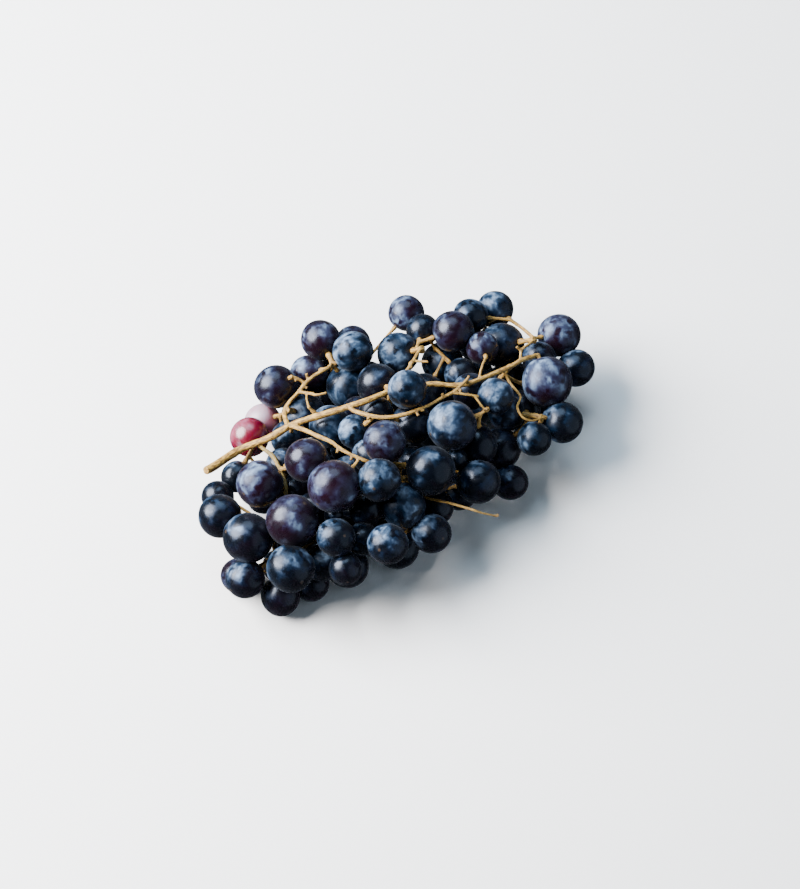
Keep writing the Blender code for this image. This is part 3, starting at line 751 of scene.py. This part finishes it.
@dataclass
class SmallBerries:
    """Berries that stayed small, wedged deep in gaps that the camera would see through."""

    bunch: Bunch
    spray: int
    eye: Triple = (0.0, 2.2, 1481.7)
    step: float = 1.5
    across_range: Span = (-46.0, 76.0)
    up_range: Span = (-62.0, 62.0)
    depth_range: Span = (-45.0, 30.0)
    ring_steps: int = 9
    under_face: float = 7.0
    least: float = 2.9
    most: float = 7.0
    press: float = 0.45
    snug: float = 2.6
    beside: float = 0.8
    count: int = 24
    seed: int = 21

    def covered(self, spots: Array) -> Array:
        """Return which lines of sight through spots at depth 0 meet a berry."""
        heads = np.column_stack([spots, np.zeros(len(spots))]) - self.eye
        heads /= norm(heads, axis=1, keepdims=True)
        off = self.bunch.berries.centres - self.eye
        along = heads @ off.T
        miss = np.sqrt(np.maximum((off ** 2).sum(axis=1) - along ** 2, 0))
        return (miss < self.bunch.berries.radii).any(axis=1)

    def ringed(self, covered: Array) -> Array:
        """Return which cells of a grid have a covered one near on all eight sides."""
        wide = np.pad(covered, self.ring_steps)
        rows, columns = covered.shape
        ringed = np.ones_like(covered)
        for down, over in ((1, 0), (1, 1), (0, 1), (-1, 1), (-1, 0), (-1, -1), (0, -1), (1, -1)):
            met = np.zeros_like(covered)
            for k in range(1, self.ring_steps + 1):
                top = self.ring_steps + k * down
                left = self.ring_steps + k * over
                met |= wide[top:top + rows, left:left + columns]
            ringed &= met
        return ringed

    def gap_points(self) -> Array:
        """Return points at many depths on the open lines of sight inside the outline."""
        across = np.arange(*self.across_range, self.step)
        up = np.arange(*self.up_range, self.step)
        spots = np.stack(np.meshgrid(across, up, indexing="ij"), axis=-1)
        covered = self.covered(spots.reshape(-1, 2)).reshape(spots.shape[:2])
        spots = spots[~covered & self.ringed(covered)]
        eye = np.array(self.eye)
        targets = np.column_stack([spots, np.zeros(len(spots))])
        share = (self.eye[2] - np.arange(*self.depth_range, self.step)) / self.eye[2]
        points = (eye + (targets - eye)[:, None, :] * share[None, :, None]).reshape(-1, 3)
        deepest = [self.bunch.sheet.outer_face(u, v) - self.under_face for u, v, _ in points]
        return points[points[:, 2] < np.array(deepest)]

    def add(self) -> None:
        """Put small berries in the bunch, the roomiest place first."""
        points = self.gap_points()
        berries, pedicels = self.bunch.berries, self.bunch.pedicels
        stalks = [close_points(path) for path in pedicels.grown.values()]
        wood = [path for path, _ in self.bunch.boughs.values()] + stalks
        girths = [radii for _, radii in self.bunch.boughs.values()]
        girths += [np.full(len(path), pedicels.radius) for path in stalks]
        room = room_at(points, np.vstack(wood), np.concatenate(girths)).min(axis=1)
        to_berries = np.sort(room_at(points, berries.centres, berries.radii), axis=1)
        room = np.minimum(room, to_berries[:, 0])
        room = np.minimum(room, self.bunch.place(points)[:, 2] * MM_PER_M)
        room[to_berries[:, 3] > np.minimum(room, self.most) + self.snug] = 0.0
        rng = np.random.default_rng(self.seed)
        for _ in range(self.count):
            best = int(np.minimum(room, self.most).argmax())
            if room[best] < self.least:
                break
            radius = min(room[best], self.most) + self.press
            berries.add(points[best], radius, self.spray)
            pedicels.seats = np.vstack([pedicels.seats, unit(rng.normal(size=3))])
            off = points - points[best]
            room = np.minimum(room, norm(off, axis=1) - radius)
            room[norm(off[:, :2], axis=1) < self.beside * radius] = 0.0


@dataclass(frozen=True)
class Noise:
    """Soft noise: scale, detail, roughness and warp, and its place's move and stretch."""

    scale: float
    detail: float = 3.0
    rough: float = 0.5
    warp: float = 0.0
    step: Triple | None = None
    stretch: Triple = (1.0, 1.0, 1.0)


class NodeBoard:
    """One material's nodes, with short ways to add and join them."""

    def __init__(self, name: str) -> None:
        """Start a material with its surface shader."""
        self.material = bpy.data.materials.new(name)
        self.material.use_nodes = True
        self.tree = self.material.node_tree
        self.shader = self.tree.nodes["Principled BSDF"]

    def put(self, socket: NodeSocket, value: Value) -> None:
        """Join a socket to another one, or set its value."""
        if isinstance(value, NodeSocket):
            self.tree.links.new(value, socket)
        elif isinstance(value, tuple) and len(value) == 3 and socket.type == "RGBA":
            socket.default_value = (*value, 1.0)
        else:
            socket.default_value = value

    def node(self, kind: str, output: str | int, inputs: dict[str | int, Value],
             **settings: str) -> NodeSocket:
        """Add a node.

        Args:
            kind: Its type, without the word that all begin with.
            output: The name or number of the output that is wanted.
            inputs: What to join to its inputs, or set on them.
            settings: What else to set on it.

        Returns:
            The output.
        """
        node = self.tree.nodes.new("ShaderNode" + kind)
        for name, value in settings.items():
            setattr(node, name, value)
        for name, value in inputs.items():
            self.put(node.inputs[name], value)
        return node.outputs[output]

    def attribute(self, name: str, output: str = "Fac") -> NodeSocket:
        """Return a value that the mesh carries at its points."""
        return self.node("Attribute", output, {}, attribute_name=name)

    def noise(self, place: NodeSocket, noise: Noise) -> NodeSocket:
        """Return soft noise of about 0.3 to 0.7 at a place."""
        if noise.step is not None:
            place = self.node("Mapping", "Vector", {
                "Vector": place, "Location": noise.step, "Scale": noise.stretch})
        return self.node("TexNoise", "Fac", {
            "Vector": place, "Scale": noise.scale, "Detail": noise.detail,
            "Roughness": noise.rough, "Distortion": noise.warp})

    def smooth(self, value: NodeSocket, low: float, high: float, out_low: float = 0.0,
               out_high: float = 1.0) -> NodeSocket:
        """Return a value eased from one range to another."""
        return self.node("MapRange", "Result", {
            "Value": value, "From Min": low, "From Max": high, "To Min": out_low,
            "To Max": out_high}, interpolation_type="SMOOTHSTEP")

    def sums(self, operation: str, a: Value, b: Value) -> NodeSocket:
        """Return the sum, product or other operation of two values."""
        return self.node("Math", 0, {0: a, 1: b}, operation=operation)

    def blend(self, *parts: tuple[NodeSocket, float]) -> NodeSocket:
        """Return the sum of values, each times its weight."""
        scaled = [self.sums("MULTIPLY", value, weight) for value, weight in parts]
        return reduce(partial(self.sums, "ADD"), scaled)

    def mix(self, share: NodeSocket, a: Value, b: Value) -> NodeSocket:
        """Return a colour between two colours."""
        return self.node("Mix", 2, {"Factor": share, 6: a, 7: b}, data_type="RGBA")

    def bump(self, height: NodeSocket, distance: float, strength: float) -> NodeSocket:
        """Return a normal roughened by a height."""
        return self.node("Bump", "Normal", {
            "Strength": strength, "Distance": distance, "Height": height})

    def finish(self, **sockets: Value) -> Material:
        """Put values on the shader's sockets, named with _ for spaces, and return the material."""
        for name, value in sockets.items():
            self.put(self.shader.inputs[name.replace("_", " ")], value)
        return self.material


@dataclass(frozen=True)
class GrapeSkin:
    """Blue-black to purple skin under a wax bloom that is rubbed off in places, with painted light:
    paler, waxier and bluer on the side towards the key light.
    """

    blue_black: Triple = (0.0006, 0.0013, 0.0032)
    purple: Triple = (0.0062, 0.0009, 0.0040)
    blue_wax: Triple = (0.0009, 0.0125, 0.035)
    lilac_wax: Triple = (0.016, 0.013, 0.042)
    # Pale wax, laid mostly on the side towards the key light: partly real bloom, partly painted
    # light.
    pale_wax_and_painted_light: Triple = (0.115, 0.172, 0.265)
    shine: Triple = (0.70, 0.79, 1.0)
    sheen: Triple = (0.72, 0.82, 1.0)
    scar: Triple = (0.03, 0.02, 0.014)
    patches: Noise = Noise(1.0, 1.5, 0.5, 0.3)
    mottles: Noise = Noise(2.4, 3.0, 0.55, 0.5, (3.1, 0.7, 5.2))
    streaks: Noise = Noise(3.6, 3.0, 0.6, 0.15, (7.0, 2.0, 1.0), (1.0, 0.8, 0.5))
    grain: Noise = Noise(24.0, 2.0, 0.5, 0.0, (1.5, 9.0, 4.0))
    rubs: Noise = Noise(2.2, 1.5, 0.5, 0.0, (5.0, 5.5, 8.0))
    level_weights: Span = (2.8, 1.1, 0.5, 1.0, -0.7)
    rub_span: Span = (0.54, 0.72)
    cover_span: Span = (2.35, 3.3)
    grain_span: Span = (0.34, 0.62, 0.62, 1.0)
    bloom_span: Span = (2.8, 3.6)
    streak_span: Span = (0.37, 0.64, 0.12, 0.95)
    purple_span: Span = (0.5, 1.5)
    scar_span: Span = (-0.9955, -0.9985)
    polish_span: Span = (0.4, 0.65, -0.05, 0.10)
    rough_span: Span = (0.0, 0.8, 0.27, 0.45)
    grain_relief: float = 0.35

    def make(self) -> Material:
        """Return the material, which reads each berry's wax and tint, with the painted light of its
        lit side, from its mesh.
        """
        board = NodeBoard("grape_skin")
        place = board.attribute("skin_place", "Vector")
        tint = board.attribute("skin_tint_and_painted_light")
        patches, mottles, streaks, grain, rubs = (
            board.noise(place, noise)
            for noise in (self.patches, self.mottles, self.streaks, self.grain, self.rubs))
        parts = (patches, mottles, streaks, board.attribute("skin_wax_and_painted_light"),
                 board.smooth(rubs, *self.rub_span))
        level = board.blend(*zip(parts, self.level_weights))
        # Painted light: the mesh's wax and tint raise the wax cover, the pale bloom and the blue hue
        # on the side towards the key light.
        wax_and_lit_cover = board.sums("MULTIPLY", board.smooth(level, *self.cover_span),
                           board.smooth(grain, *self.grain_span))
        bloom = board.sums("MULTIPLY", board.smooth(level, *self.bloom_span),
                           board.smooth(streaks, *self.streak_span))

        purple_and_lit_share = board.smooth(board.sums("ADD", tint, mottles), *self.purple_span)
        skin = board.mix(purple_and_lit_share, self.blue_black, self.purple)
        wax_hue_and_lit_side = board.mix(tint, self.blue_wax, self.lilac_wax)
        colour = board.mix(bloom, board.mix(wax_and_lit_cover, skin, wax_hue_and_lit_side), self.pale_wax_and_painted_light)
        scar = board.smooth(board.attribute("skin_pole"), *self.scar_span)
        roughness = board.sums("ADD", board.smooth(streaks, *self.polish_span),
                               board.smooth(wax_and_lit_cover, *self.rough_span))
        relief = board.blend((grain, self.grain_relief), (mottles, 1.0))
        return board.finish(
            Base_Color=board.mix(scar, colour, self.scar), Roughness=roughness,
            Normal=board.bump(relief, distance=0.0001, strength=0.4),
            Sheen_Weight=0.05, Sheen_Roughness=0.4, Sheen_Tint=self.sheen,
            Coat_Weight=0.04, Coat_Roughness=0.3, IOR=1.38, Specular_Tint=self.shine)


@dataclass(frozen=True)
class UnripeSkin:
    """Crimson to pink skin, lit through, with a thin white wax, painted paler and pinker on the side
    towards the key light.
    """

    crimson: Triple = (0.095, 0.0005, 0.011)
    blush: Triple = (0.24, 0.075, 0.12)
    wax: Triple = (0.30, 0.25, 0.31)
    patches: Noise = Noise(1.2, 3.0, 0.5, 0.4)
    grain: Noise = Noise(18.0, 3.0, 0.6, 0.0, (2.0, 8.0, 3.0))
    ripe_span: Span = (0.70, 1.18)
    cover_span: Span = (0.62, 1.02, 0.0, 0.75)
    rough_span: Span = (0.0, 0.8, 0.25, 0.45)
    wax_weight: float = 0.4

    def make(self) -> Material:
        """Return the material, which reads each berry's wax and tint, with the painted light of its
        lit side, from its mesh.
        """
        board = NodeBoard("unripe_skin")
        place = board.attribute("skin_place", "Vector")
        patches = board.noise(place, self.patches)
        # Painted light: the tint and wax from the mesh make the side towards the key light pinker
        # and waxier.
        ripeness_and_lit_side = board.sums("ADD", board.attribute("skin_tint_and_painted_light"), patches)
        skin = board.mix(board.smooth(ripeness_and_lit_side, *self.ripe_span), self.blush, self.crimson)
        level = board.blend((patches, 1.0), (board.attribute("skin_wax_and_painted_light"), self.wax_weight))
        cover = board.smooth(level, *self.cover_span)
        return board.finish(
            Base_Color=board.mix(cover, skin, self.wax),
            Roughness=board.smooth(cover, *self.rough_span),
            Normal=board.bump(board.noise(place, self.grain), distance=0.0001, strength=0.4),
            Subsurface_Weight=0.25, Subsurface_Scale=0.004, Coat_Weight=0.2, Coat_Roughness=0.2)


@dataclass(frozen=True)
class StemBark:
    """Tan, woody stalk with lengthwise ridges and browner knots."""

    pale: Triple = (0.53, 0.315, 0.064)
    tan: Triple = (0.150, 0.066, 0.009)
    brown: Triple = (0.030, 0.011, 0.003)
    green: Triple = (0.07, 0.065, 0.012)
    ridges: Noise = Noise(2.2, 4.0, 0.62)
    cracks: Noise = Noise(3.0, 3.0, 0.7, 0.0, (4.0, 1.0, 7.0), (2.2, 2.2, 0.5))
    spots: Noise = Noise(1.1, 2.0, 0.5, 0.0, (9.0, 3.0, 2.0))
    pale_span: Span = (0.40, 0.60)
    crack_span: Span = (0.56, 0.70, 0.0, 0.75)
    spot_span: Span = (0.52, 0.72, 0.0, 0.45)
    rough_span: Span = (0.3, 0.7, 0.48, 0.72)
    green_share: float = 0.7
    most_worn: float = 0.85
    crack_relief: float = -0.6

    def make(self) -> Material:
        """Return the material, which reads the grain and age from the mesh."""
        board = NodeBoard("stem_bark")
        grain = board.attribute("wood_grain", "Vector")
        ridges, cracks, spots = (
            board.noise(grain, noise) for noise in (self.ridges, self.cracks, self.spots))
        fresh = board.sums("MULTIPLY", board.attribute("wood_green"), self.green_share)
        colour = board.mix(board.smooth(ridges, *self.pale_span), self.tan, self.pale)
        colour = board.mix(fresh, colour, self.green)
        colour = board.mix(board.smooth(cracks, *self.crack_span), colour, self.brown)
        knots = board.smooth(spots, *self.spot_span)
        worn = board.sums("ADD", board.attribute("wood_age"), knots)
        colour = board.mix(board.sums("MINIMUM", worn, self.most_worn), colour, self.brown)
        relief = board.blend((ridges, 1.0), (cracks, self.crack_relief))
        return board.finish(
            Base_Color=colour, Roughness=board.smooth(ridges, *self.rough_span),
            Normal=board.bump(relief, distance=0.0004, strength=0.7))


@dataclass(frozen=True)
class PaleFloor:
    """The plain pale surface under the bunch."""

    colour: Triple = (0.86, 0.86, 0.87)
    cloud: Noise = Noise(6.0, 2.0)
    dimming: float = 0.985
    roughness: float = 0.6

    def make(self) -> Material:
        """Return the material."""
        board = NodeBoard("pale_floor")
        cloud = board.noise(board.node("TexCoord", "Object", {}), self.cloud)
        dim = tuple(self.dimming * c for c in self.colour)
        return board.finish(
            Base_Color=board.mix(cloud, dim, self.colour), Roughness=self.roughness)


@dataclass
class BerryForm:
    """The fine form of a berry: round, with a dimple at its stalk and a small scar."""

    rings: int = 40
    segments: int = 56
    stretch: float = 0.02
    waves: int = 4
    wave_range: Span = (1.92, 4.16)
    lumps: float = 0.008
    dimple: float = 0.05
    dimple_width: float = 0.30
    scar: float = 0.012
    scar_width: float = 0.07
    scar_rise: float = 1.6
    hollow_width: float = 0.21

    def directions(self) -> Array:
        """Return unit directions of all points, the stalk's end first."""
        turns = np.arange(self.segments) * 2 * pi / self.segments
        polar = np.arange(1, self.rings) * pi / self.rings
        ring = np.stack([np.cos(turns), np.sin(turns), np.zeros(self.segments)], axis=1)
        rows = [np.sin(p) * ring + np.array([0, 0, cos(p)]) for p in polar]
        return np.vstack([[[0, 0, 1.0]], *rows, [[0, 0, -1.0]]])

    def faces(self) -> list[tuple[int, ...]]:
        """Return the faces over those points."""
        count = self.segments
        last = 1 + (self.rings - 1) * count
        faces: list[tuple[int, ...]] = []
        for n in range(count):
            m = (n + 1) % count
            faces.append((0, 1 + n, 1 + m))
            faces.append((last, last - count + m, last - count + n))
        return faces + ring_faces(1, self.rings - 1, count)

    def reach(self, directions: Array, rng: np.random.Generator) -> Array:
        """Return each point's distance from the centre, as a share of the radius."""
        angle = np.arccos(np.clip(directions[:, 2], -1, 1))
        share = 1 + self.stretch * (directions[:, 2] ** 2 - 1 / 3)
        for _ in range(self.waves):
            wave = unit(rng.normal(size=3)) * rng.uniform(*self.wave_range)
            share += self.lumps * np.sin(directions @ wave + rng.uniform(0, 2 * pi))
        far = pi - angle
        share -= self.dimple * np.exp(-(angle / self.dimple_width) ** 2)
        share -= self.scar * np.exp(-(far / self.hollow_width) ** 2)
        share += self.scar_rise * self.scar * np.exp(-(far / self.scar_width) ** 2)
        return share


WAX_LEVELS: dict[Wax, tuple[float, float]] = {
    FROSTED: (0.58, 0.05), MOTTLED: (0.36, 0.20), PLUM: (0.42, 0.80),
    BARE: (0.05, 0.35), CRIMSON: (0.15, 0.75), BLUSH: (0.75, 0.05)}


@dataclass
class Spray:
    """The berries of one spray, as one piece."""

    node: str
    number: int
    bunch: Bunch
    form: BerryForm = field(default_factory=BerryForm)
    first_seed: int = 1000
    spread: float = 0.08
    pattern_reach: float = 40.0
    lowest: float = 0.0001
    stands_in: bool = True
    # Painted light: the side of each berry towards the key light gets more wax and less purple tint,
    # so it reads paler and bluer.
    painted_light_side: Triple = (-0.7, 0.6, 0.4)
    painted_light_wax: float = 0.5
    painted_light_tint: float = 0.3

    def look(self, berry: int, rng: np.random.Generator) -> tuple[float, float]:
        """Return the wax and the tint of a berry."""
        if berry < len(self.bunch.waxes):
            kind = self.bunch.waxes[berry]
        else:
            # Berries not in the table lie inside the bunch and take only the darker looks, partly as
            # painted shade.
            kind = rng.choice([MOTTLED, BARE])
        wax, tint = WAX_LEVELS[kind]
        return wax + rng.normal() * self.spread, tint + rng.normal() * self.spread

    def build(self, material: Material, slot: str) -> Object:
        """Make the piece.

        Args:
            material: The finish of its skin.
            slot: The record's material slot, not used.

        Returns:
            The mesh object, riding on the frame.
        """
        directions, faces = self.form.directions(), self.form.faces()
        layout, axes = self.bunch.berries, self.bunch.sheet.axes
        berries = np.nonzero(layout.sprays == self.number)[0]
        seats = self.bunch.pedicels.seats @ axes.T
        painted_light_way = axes @ unit(np.array(self.painted_light_side))
        points, all_faces, places, looks = [], [], [], []
        for k in berries:
            rng = np.random.default_rng(self.first_seed + int(k))
            turn = Vector((0, 0, 1)).rotation_difference(Vector(seats[k])).to_matrix()
            spin = Matrix.Rotation(rng.uniform(0, 2 * pi), 3, "Z")
            basis = np.array(turn @ spin)
            share = self.form.reach(directions, rng)
            local = directions * share[:, None] * layout.radii[k] / MM_PER_M
            offset = len(points) * len(directions)
            points.append(local @ basis.T + self.bunch.place(layout.centres[k]))
            all_faces += [tuple(v + offset for v in face) for face in faces]
            places.append(directions + rng.uniform(-self.pattern_reach, self.pattern_reach, size=3))
            wax, tint = self.look(int(k), rng)
            # Painted light: wax raised and tint lowered on the side that faces the key light.
            painted_lit_share = directions @ basis.T @ painted_light_way
            looks.append(np.column_stack([
                wax + self.painted_light_wax * painted_lit_share, tint - self.painted_light_tint * painted_lit_share, directions[:, 2]]))
        verts = np.vstack(points)
        verts[:, 2] = np.maximum(verts[:, 2], self.lowest)
        mesh = bpy.data.meshes.new(self.node)
        mesh.from_pydata(verts.tolist(), [], all_faces)
        mesh.shade_smooth()
        # The wax and tint layers carry this painted light as well as each berry's own wax and tint.
        wax, tint, pole = np.vstack(looks).T
        write_layers(mesh, {
            "skin_place": np.vstack(places), "skin_wax_and_painted_light": wax, "skin_tint_and_painted_light": tint, "skin_pole": pole})
        mesh.materials.append(material)
        piece = show(self.node.replace("berries", "grapes"), mesh)
        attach(piece, "root")
        if self.stands_in:
            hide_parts(self.node)
        log.info("%s: %d berries", piece.name, len(berries))
        return piece


@dataclass
class Tube:
    """A round limb of the stem: path and radii in millimetres on the sheet."""

    path: Array
    radii: Array
    age: float = 0.0
    green: float = 0.0


@dataclass
class Stem:
    """The woody stem with its branches, pedicels, swollen seats and picked spurs."""

    bunch: Bunch
    seed: int = 12
    sides: int = 12
    first_side: Triple = (0.31, 0.22, 0.93)
    voxel: float = 0.00033
    softening: float = 0.5
    smoothing: int = 2
    slender: float = 0.9
    knot_step: int = 4
    knots: float = 0.07
    green_branch: str = "wing_branch"
    green: float = 0.15
    fresh_green: float = 0.9
    root_flare: float = 1.25
    seat_depth: float = 1.1
    seat_length: float = 1.1
    seat_flare: float = 1.5
    seat_end: float = 0.8
    pedicel_age: float = 0.12
    spur_age: float = 0.35
    spur_rise: float = 0.35
    spur_radii: tuple[float, ...] = (0.702, 0.54, 0.567, 0.729)
    grain_length: float = 5.0
    grain_shift: float = 37.0
    grain_side: Triple = (0.3, 0.9, 0.2)
    tubes: list[Tube] = field(default_factory=list)

    def lay(self) -> None:
        """Collect every limb."""
        rng = np.random.default_rng(self.seed)
        for name, (path, radii) in self.bunch.boughs.items():
            steps = np.arange(0, len(path) + self.knot_step, self.knot_step)
            wave = np.interp(np.arange(len(path)), steps, rng.normal(size=len(steps)))
            green = self.fresh_green if name == self.green_branch else self.green
            self.tubes.append(Tube(path, radii * self.slender * (1 + self.knots * wave), 0.0, green))
        for number, coarse in self.bunch.pedicels.grown.items():
            self.lay_pedicel(number, coarse)
        for across, up, lift, length, lean in SPURS:
            root = self.bunch.sheet.raised([(across, up, lift)])[0]
            away = np.array([cos(radians(lean)), sin(radians(lean)), self.spur_rise])
            path = root + np.outer(np.linspace(0, length, len(self.spur_radii)), away)
            self.tubes.append(Tube(path, np.array(self.spur_radii), self.spur_age))

    def lay_pedicel(self, number: int, coarse: Array) -> None:
        """Add one pedicel, swollen where it leaves the wood and where it holds its berry."""
        radii = self.bunch.pedicels.radii_along(number)
        inward = unit(self.bunch.berries.centres[number] - coarse[-1])
        path = smooth_path(coarse, self.bunch.FINE_STEP)
        fine = np.interp(np.linspace(0, 1, len(path)), np.linspace(0, 1, len(coarse)), radii)
        base = self.bunch.pedicels.radius
        fine = self.slender * np.minimum(fine, np.maximum(radii[0], base))
        left = norm(path - path[-1], axis=1)
        fine = fine + base * (self.seat_flare - 1) * np.exp(-(left / self.seat_length) ** 2)
        fine[0] *= self.root_flare
        path = np.vstack([path, path[-1] + inward * self.seat_depth])
        fine = np.append(fine, fine[-1] * self.seat_end)
        self.tubes.append(Tube(path, fine, self.pedicel_age))

    def solid(self) -> Object:
        """Return one fused mesh of all limbs."""
        verts: list[list[float]] = []
        faces: list[tuple[int, ...]] = []
        for tube in self.tubes:
            path = self.bunch.place(tube.path)
            side = np.array(self.first_side)
            first = len(verts)
            for k, point in enumerate(path):
                head = unit(path[min(k + 1, len(path) - 1)] - path[max(k - 1, 0)])
                side = unit(side - side @ head * head)
                over = np.cross(head, side)
                for n in range(self.sides):
                    turn = 2 * pi * n / self.sides
                    reach = (side * cos(turn) + over * sin(turn)) * tube.radii[k] / MM_PER_M
                    verts.append((point + reach).tolist())
            faces += ring_faces(first, len(path), self.sides, turned=True)
            faces.append(tuple(reversed(range(first, first + self.sides))))
            faces.append(tuple(range(len(verts) - self.sides, len(verts))))
        mesh = bpy.data.meshes.new("stem_wood")
        mesh.from_pydata(verts, [], faces)
        piece = show("stem_wood", mesh)
        remesh = piece.modifiers.new("fuse", "REMESH")
        remesh.mode = "VOXEL"
        remesh.voxel_size = self.voxel
        smooth = piece.modifiers.new("soften", "SMOOTH")
        smooth.factor = self.softening
        smooth.iterations = self.smoothing
        graph = bpy.context.evaluated_depsgraph_get()
        fused = bpy.data.meshes.new_from_object(piece.evaluated_get(graph))
        piece.modifiers.clear()
        piece.data = fused
        bpy.data.meshes.remove(mesh)
        return piece

    def mark_grain(self, mesh: Mesh) -> None:
        """Write on each point where it lies along and round its limb, and the limb's age."""
        points, heads, runs, looks = [], [], [], []
        for number, tube in enumerate(self.tubes):
            path = self.bunch.place(tube.path)
            turns = np.gradient(path, axis=0)
            steps = norm(np.diff(path, axis=0), axis=1)
            points.append(path)
            heads.append(turns / norm(turns, axis=1, keepdims=True))
            runs.append(np.append(0, np.cumsum(steps)) * MM_PER_M + self.grain_shift * number)
            looks += [(tube.age, tube.green)] * len(path)
        points = np.vstack(points)
        tree = KDTree(len(points))
        for k, point in enumerate(points):
            tree.insert(point, k)
        tree.balance()
        near = np.array([tree.find(vertex.co)[1] for vertex in mesh.vertices])
        verts = np.empty(len(mesh.vertices) * 3)
        mesh.vertices.foreach_get("co", verts)
        off = verts.reshape(-1, 3) - points[near]
        head = np.vstack(heads)[near]
        side = np.cross(head, self.grain_side)
        side /= norm(side, axis=1, keepdims=True)
        over = np.cross(head, side)
        around = np.arctan2((off * over).sum(axis=1), (off * side).sum(axis=1))
        run = np.concatenate(runs)[near] + (off * head).sum(axis=1) * MM_PER_M
        age, green = np.array(looks)[near].T
        write_layers(mesh, {
            "wood_grain": np.column_stack([np.cos(around), np.sin(around), run / self.grain_length]),
            "wood_age": age, "wood_green": green})

    def build(self, material: Material) -> Object:
        """Make the piece and return it, riding on the frame."""
        self.lay()
        piece = self.solid()
        self.mark_grain(piece.data)
        piece.data.materials.clear()
        piece.data.materials.append(material)
        piece.data.shade_smooth()
        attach(piece, "root")
        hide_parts("stem")
        log.info("%s: %d limbs, %d faces", piece.name, len(self.tubes), len(piece.data.polygons))
        return piece


@dataclass(frozen=True)
class Softbox:
    """A round soft light: its place on the sheet, its width, power and colour."""

    name: str
    place: Triple
    size: float
    power: float
    colour: Triple


@dataclass
class Studio:
    """The floor, the lights and the camera."""

    bunch: Bunch
    lens: float = 150.0
    sensor: float = 36.0
    clip: Span = (0.05, 20.0)
    frame_height: float = 889.0
    pixels_per_mm: float = 2.5
    aim_up: float = 2.2
    floor_size: float = 6.0
    room: Triple = (0.66, 0.84, 1.0)
    room_light: float = 0.06
    softboxes: tuple[Softbox, ...] = (
        Softbox("key", (-860, 440, 480), 1.0, 105.0, (1.0, 0.985, 0.97)),
        Softbox("top_fill", (-60, 800, 420), 0.7, 8.0, (0.62, 0.82, 1.0)),
        Softbox("side_fill", (820, -150, 430), 1.6, 5.0, (0.72, 0.86, 1.0)))

    def at(self, across: float, up: float, out: float) -> Vector:
        """Return a place of the sheet as a vector in the part's frame."""
        return Vector(self.bunch.place(np.array([across, up, out], float)))

    def camera(self) -> None:
        """Set the camera square on the sheet, with the bunch where the photo has it."""
        distance = self.lens / self.sensor * self.frame_height / self.pixels_per_mm
        data = bpy.data.cameras.new("camera")
        data.lens = self.lens
        data.sensor_width = self.sensor
        data.clip_start, data.clip_end = self.clip
        camera = show("camera", data)
        turn = Matrix(self.bunch.sheet.axes.tolist()).to_4x4()
        camera.matrix_world = Matrix.Translation(self.at(0, self.aim_up, distance)) @ turn
        bpy.context.scene.camera = camera

    def hang(self, softbox: Softbox) -> None:
        """Hang a soft light that faces the bunch."""
        data = bpy.data.lights.new(softbox.name, "AREA")
        data.shape = "DISK"
        data.size = softbox.size
        data.energy = softbox.power
        data.color = softbox.colour
        light = show(softbox.name, data)
        light.location = self.at(*softbox.place)
        light.rotation_mode = "QUATERNION"
        light.rotation_quaternion = (self.at(0, 0, 0) - light.location).to_track_quat("-Z", "Y")

    def surround(self) -> None:
        """Set the dim light of the room round the bunch."""
        world = bpy.data.worlds.new("pale_room")
        world.use_nodes = True
        sky = world.node_tree.nodes["Background"]
        sky.inputs["Color"].default_value = (*self.room, 1.0)
        sky.inputs["Strength"].default_value = self.room_light
        bpy.context.scene.world = world

    def floor(self, material: Material) -> None:
        """Lay the pale floor."""
        bm = bmesh.new()
        bmesh.ops.create_grid(bm, x_segments=2, y_segments=2, size=self.floor_size / 2)
        mesh = bpy.data.meshes.new("floor")
        bm.to_mesh(mesh)
        bm.free()
        mesh.materials.append(material)
        floor = show("floor", mesh)
        floor.visible_glossy = False

    def build(self) -> None:
        """Set up the whole studio."""
        self.camera()
        for softbox in self.softboxes:
            self.hang(softbox)
        self.surround()
        self.floor(PaleFloor().make())


def main() -> None:
    """Build every piece of the bunch, then the studio round it."""
    logging.basicConfig(level=logging.INFO, format="%(message)s")
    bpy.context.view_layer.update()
    bunch = Bunch()
    log.info("laid out %d berries, %d pedicels",
             len(bunch.berries.radii), len(bunch.pedicels.grown))
    ripe = GrapeSkin().make()
    unripe = UnripeSkin().make()
    for number, node in enumerate(SPRAYS):
        if number == UNRIPE_SPRAY:
            Spray(node, number, bunch).build(unripe, "crimson_berry")
        else:
            Spray(node, number, bunch).build(ripe, "dark_berry")
    Stem(bunch).build(StemBark().make())
    SmallBerries(bunch, len(SPRAYS)).add()
    Spray("berries_small", len(SPRAYS), bunch, stands_in=False).build(ripe, "dark_berry")
    Studio(bunch).build()


if __name__ == "__main__":
    main()
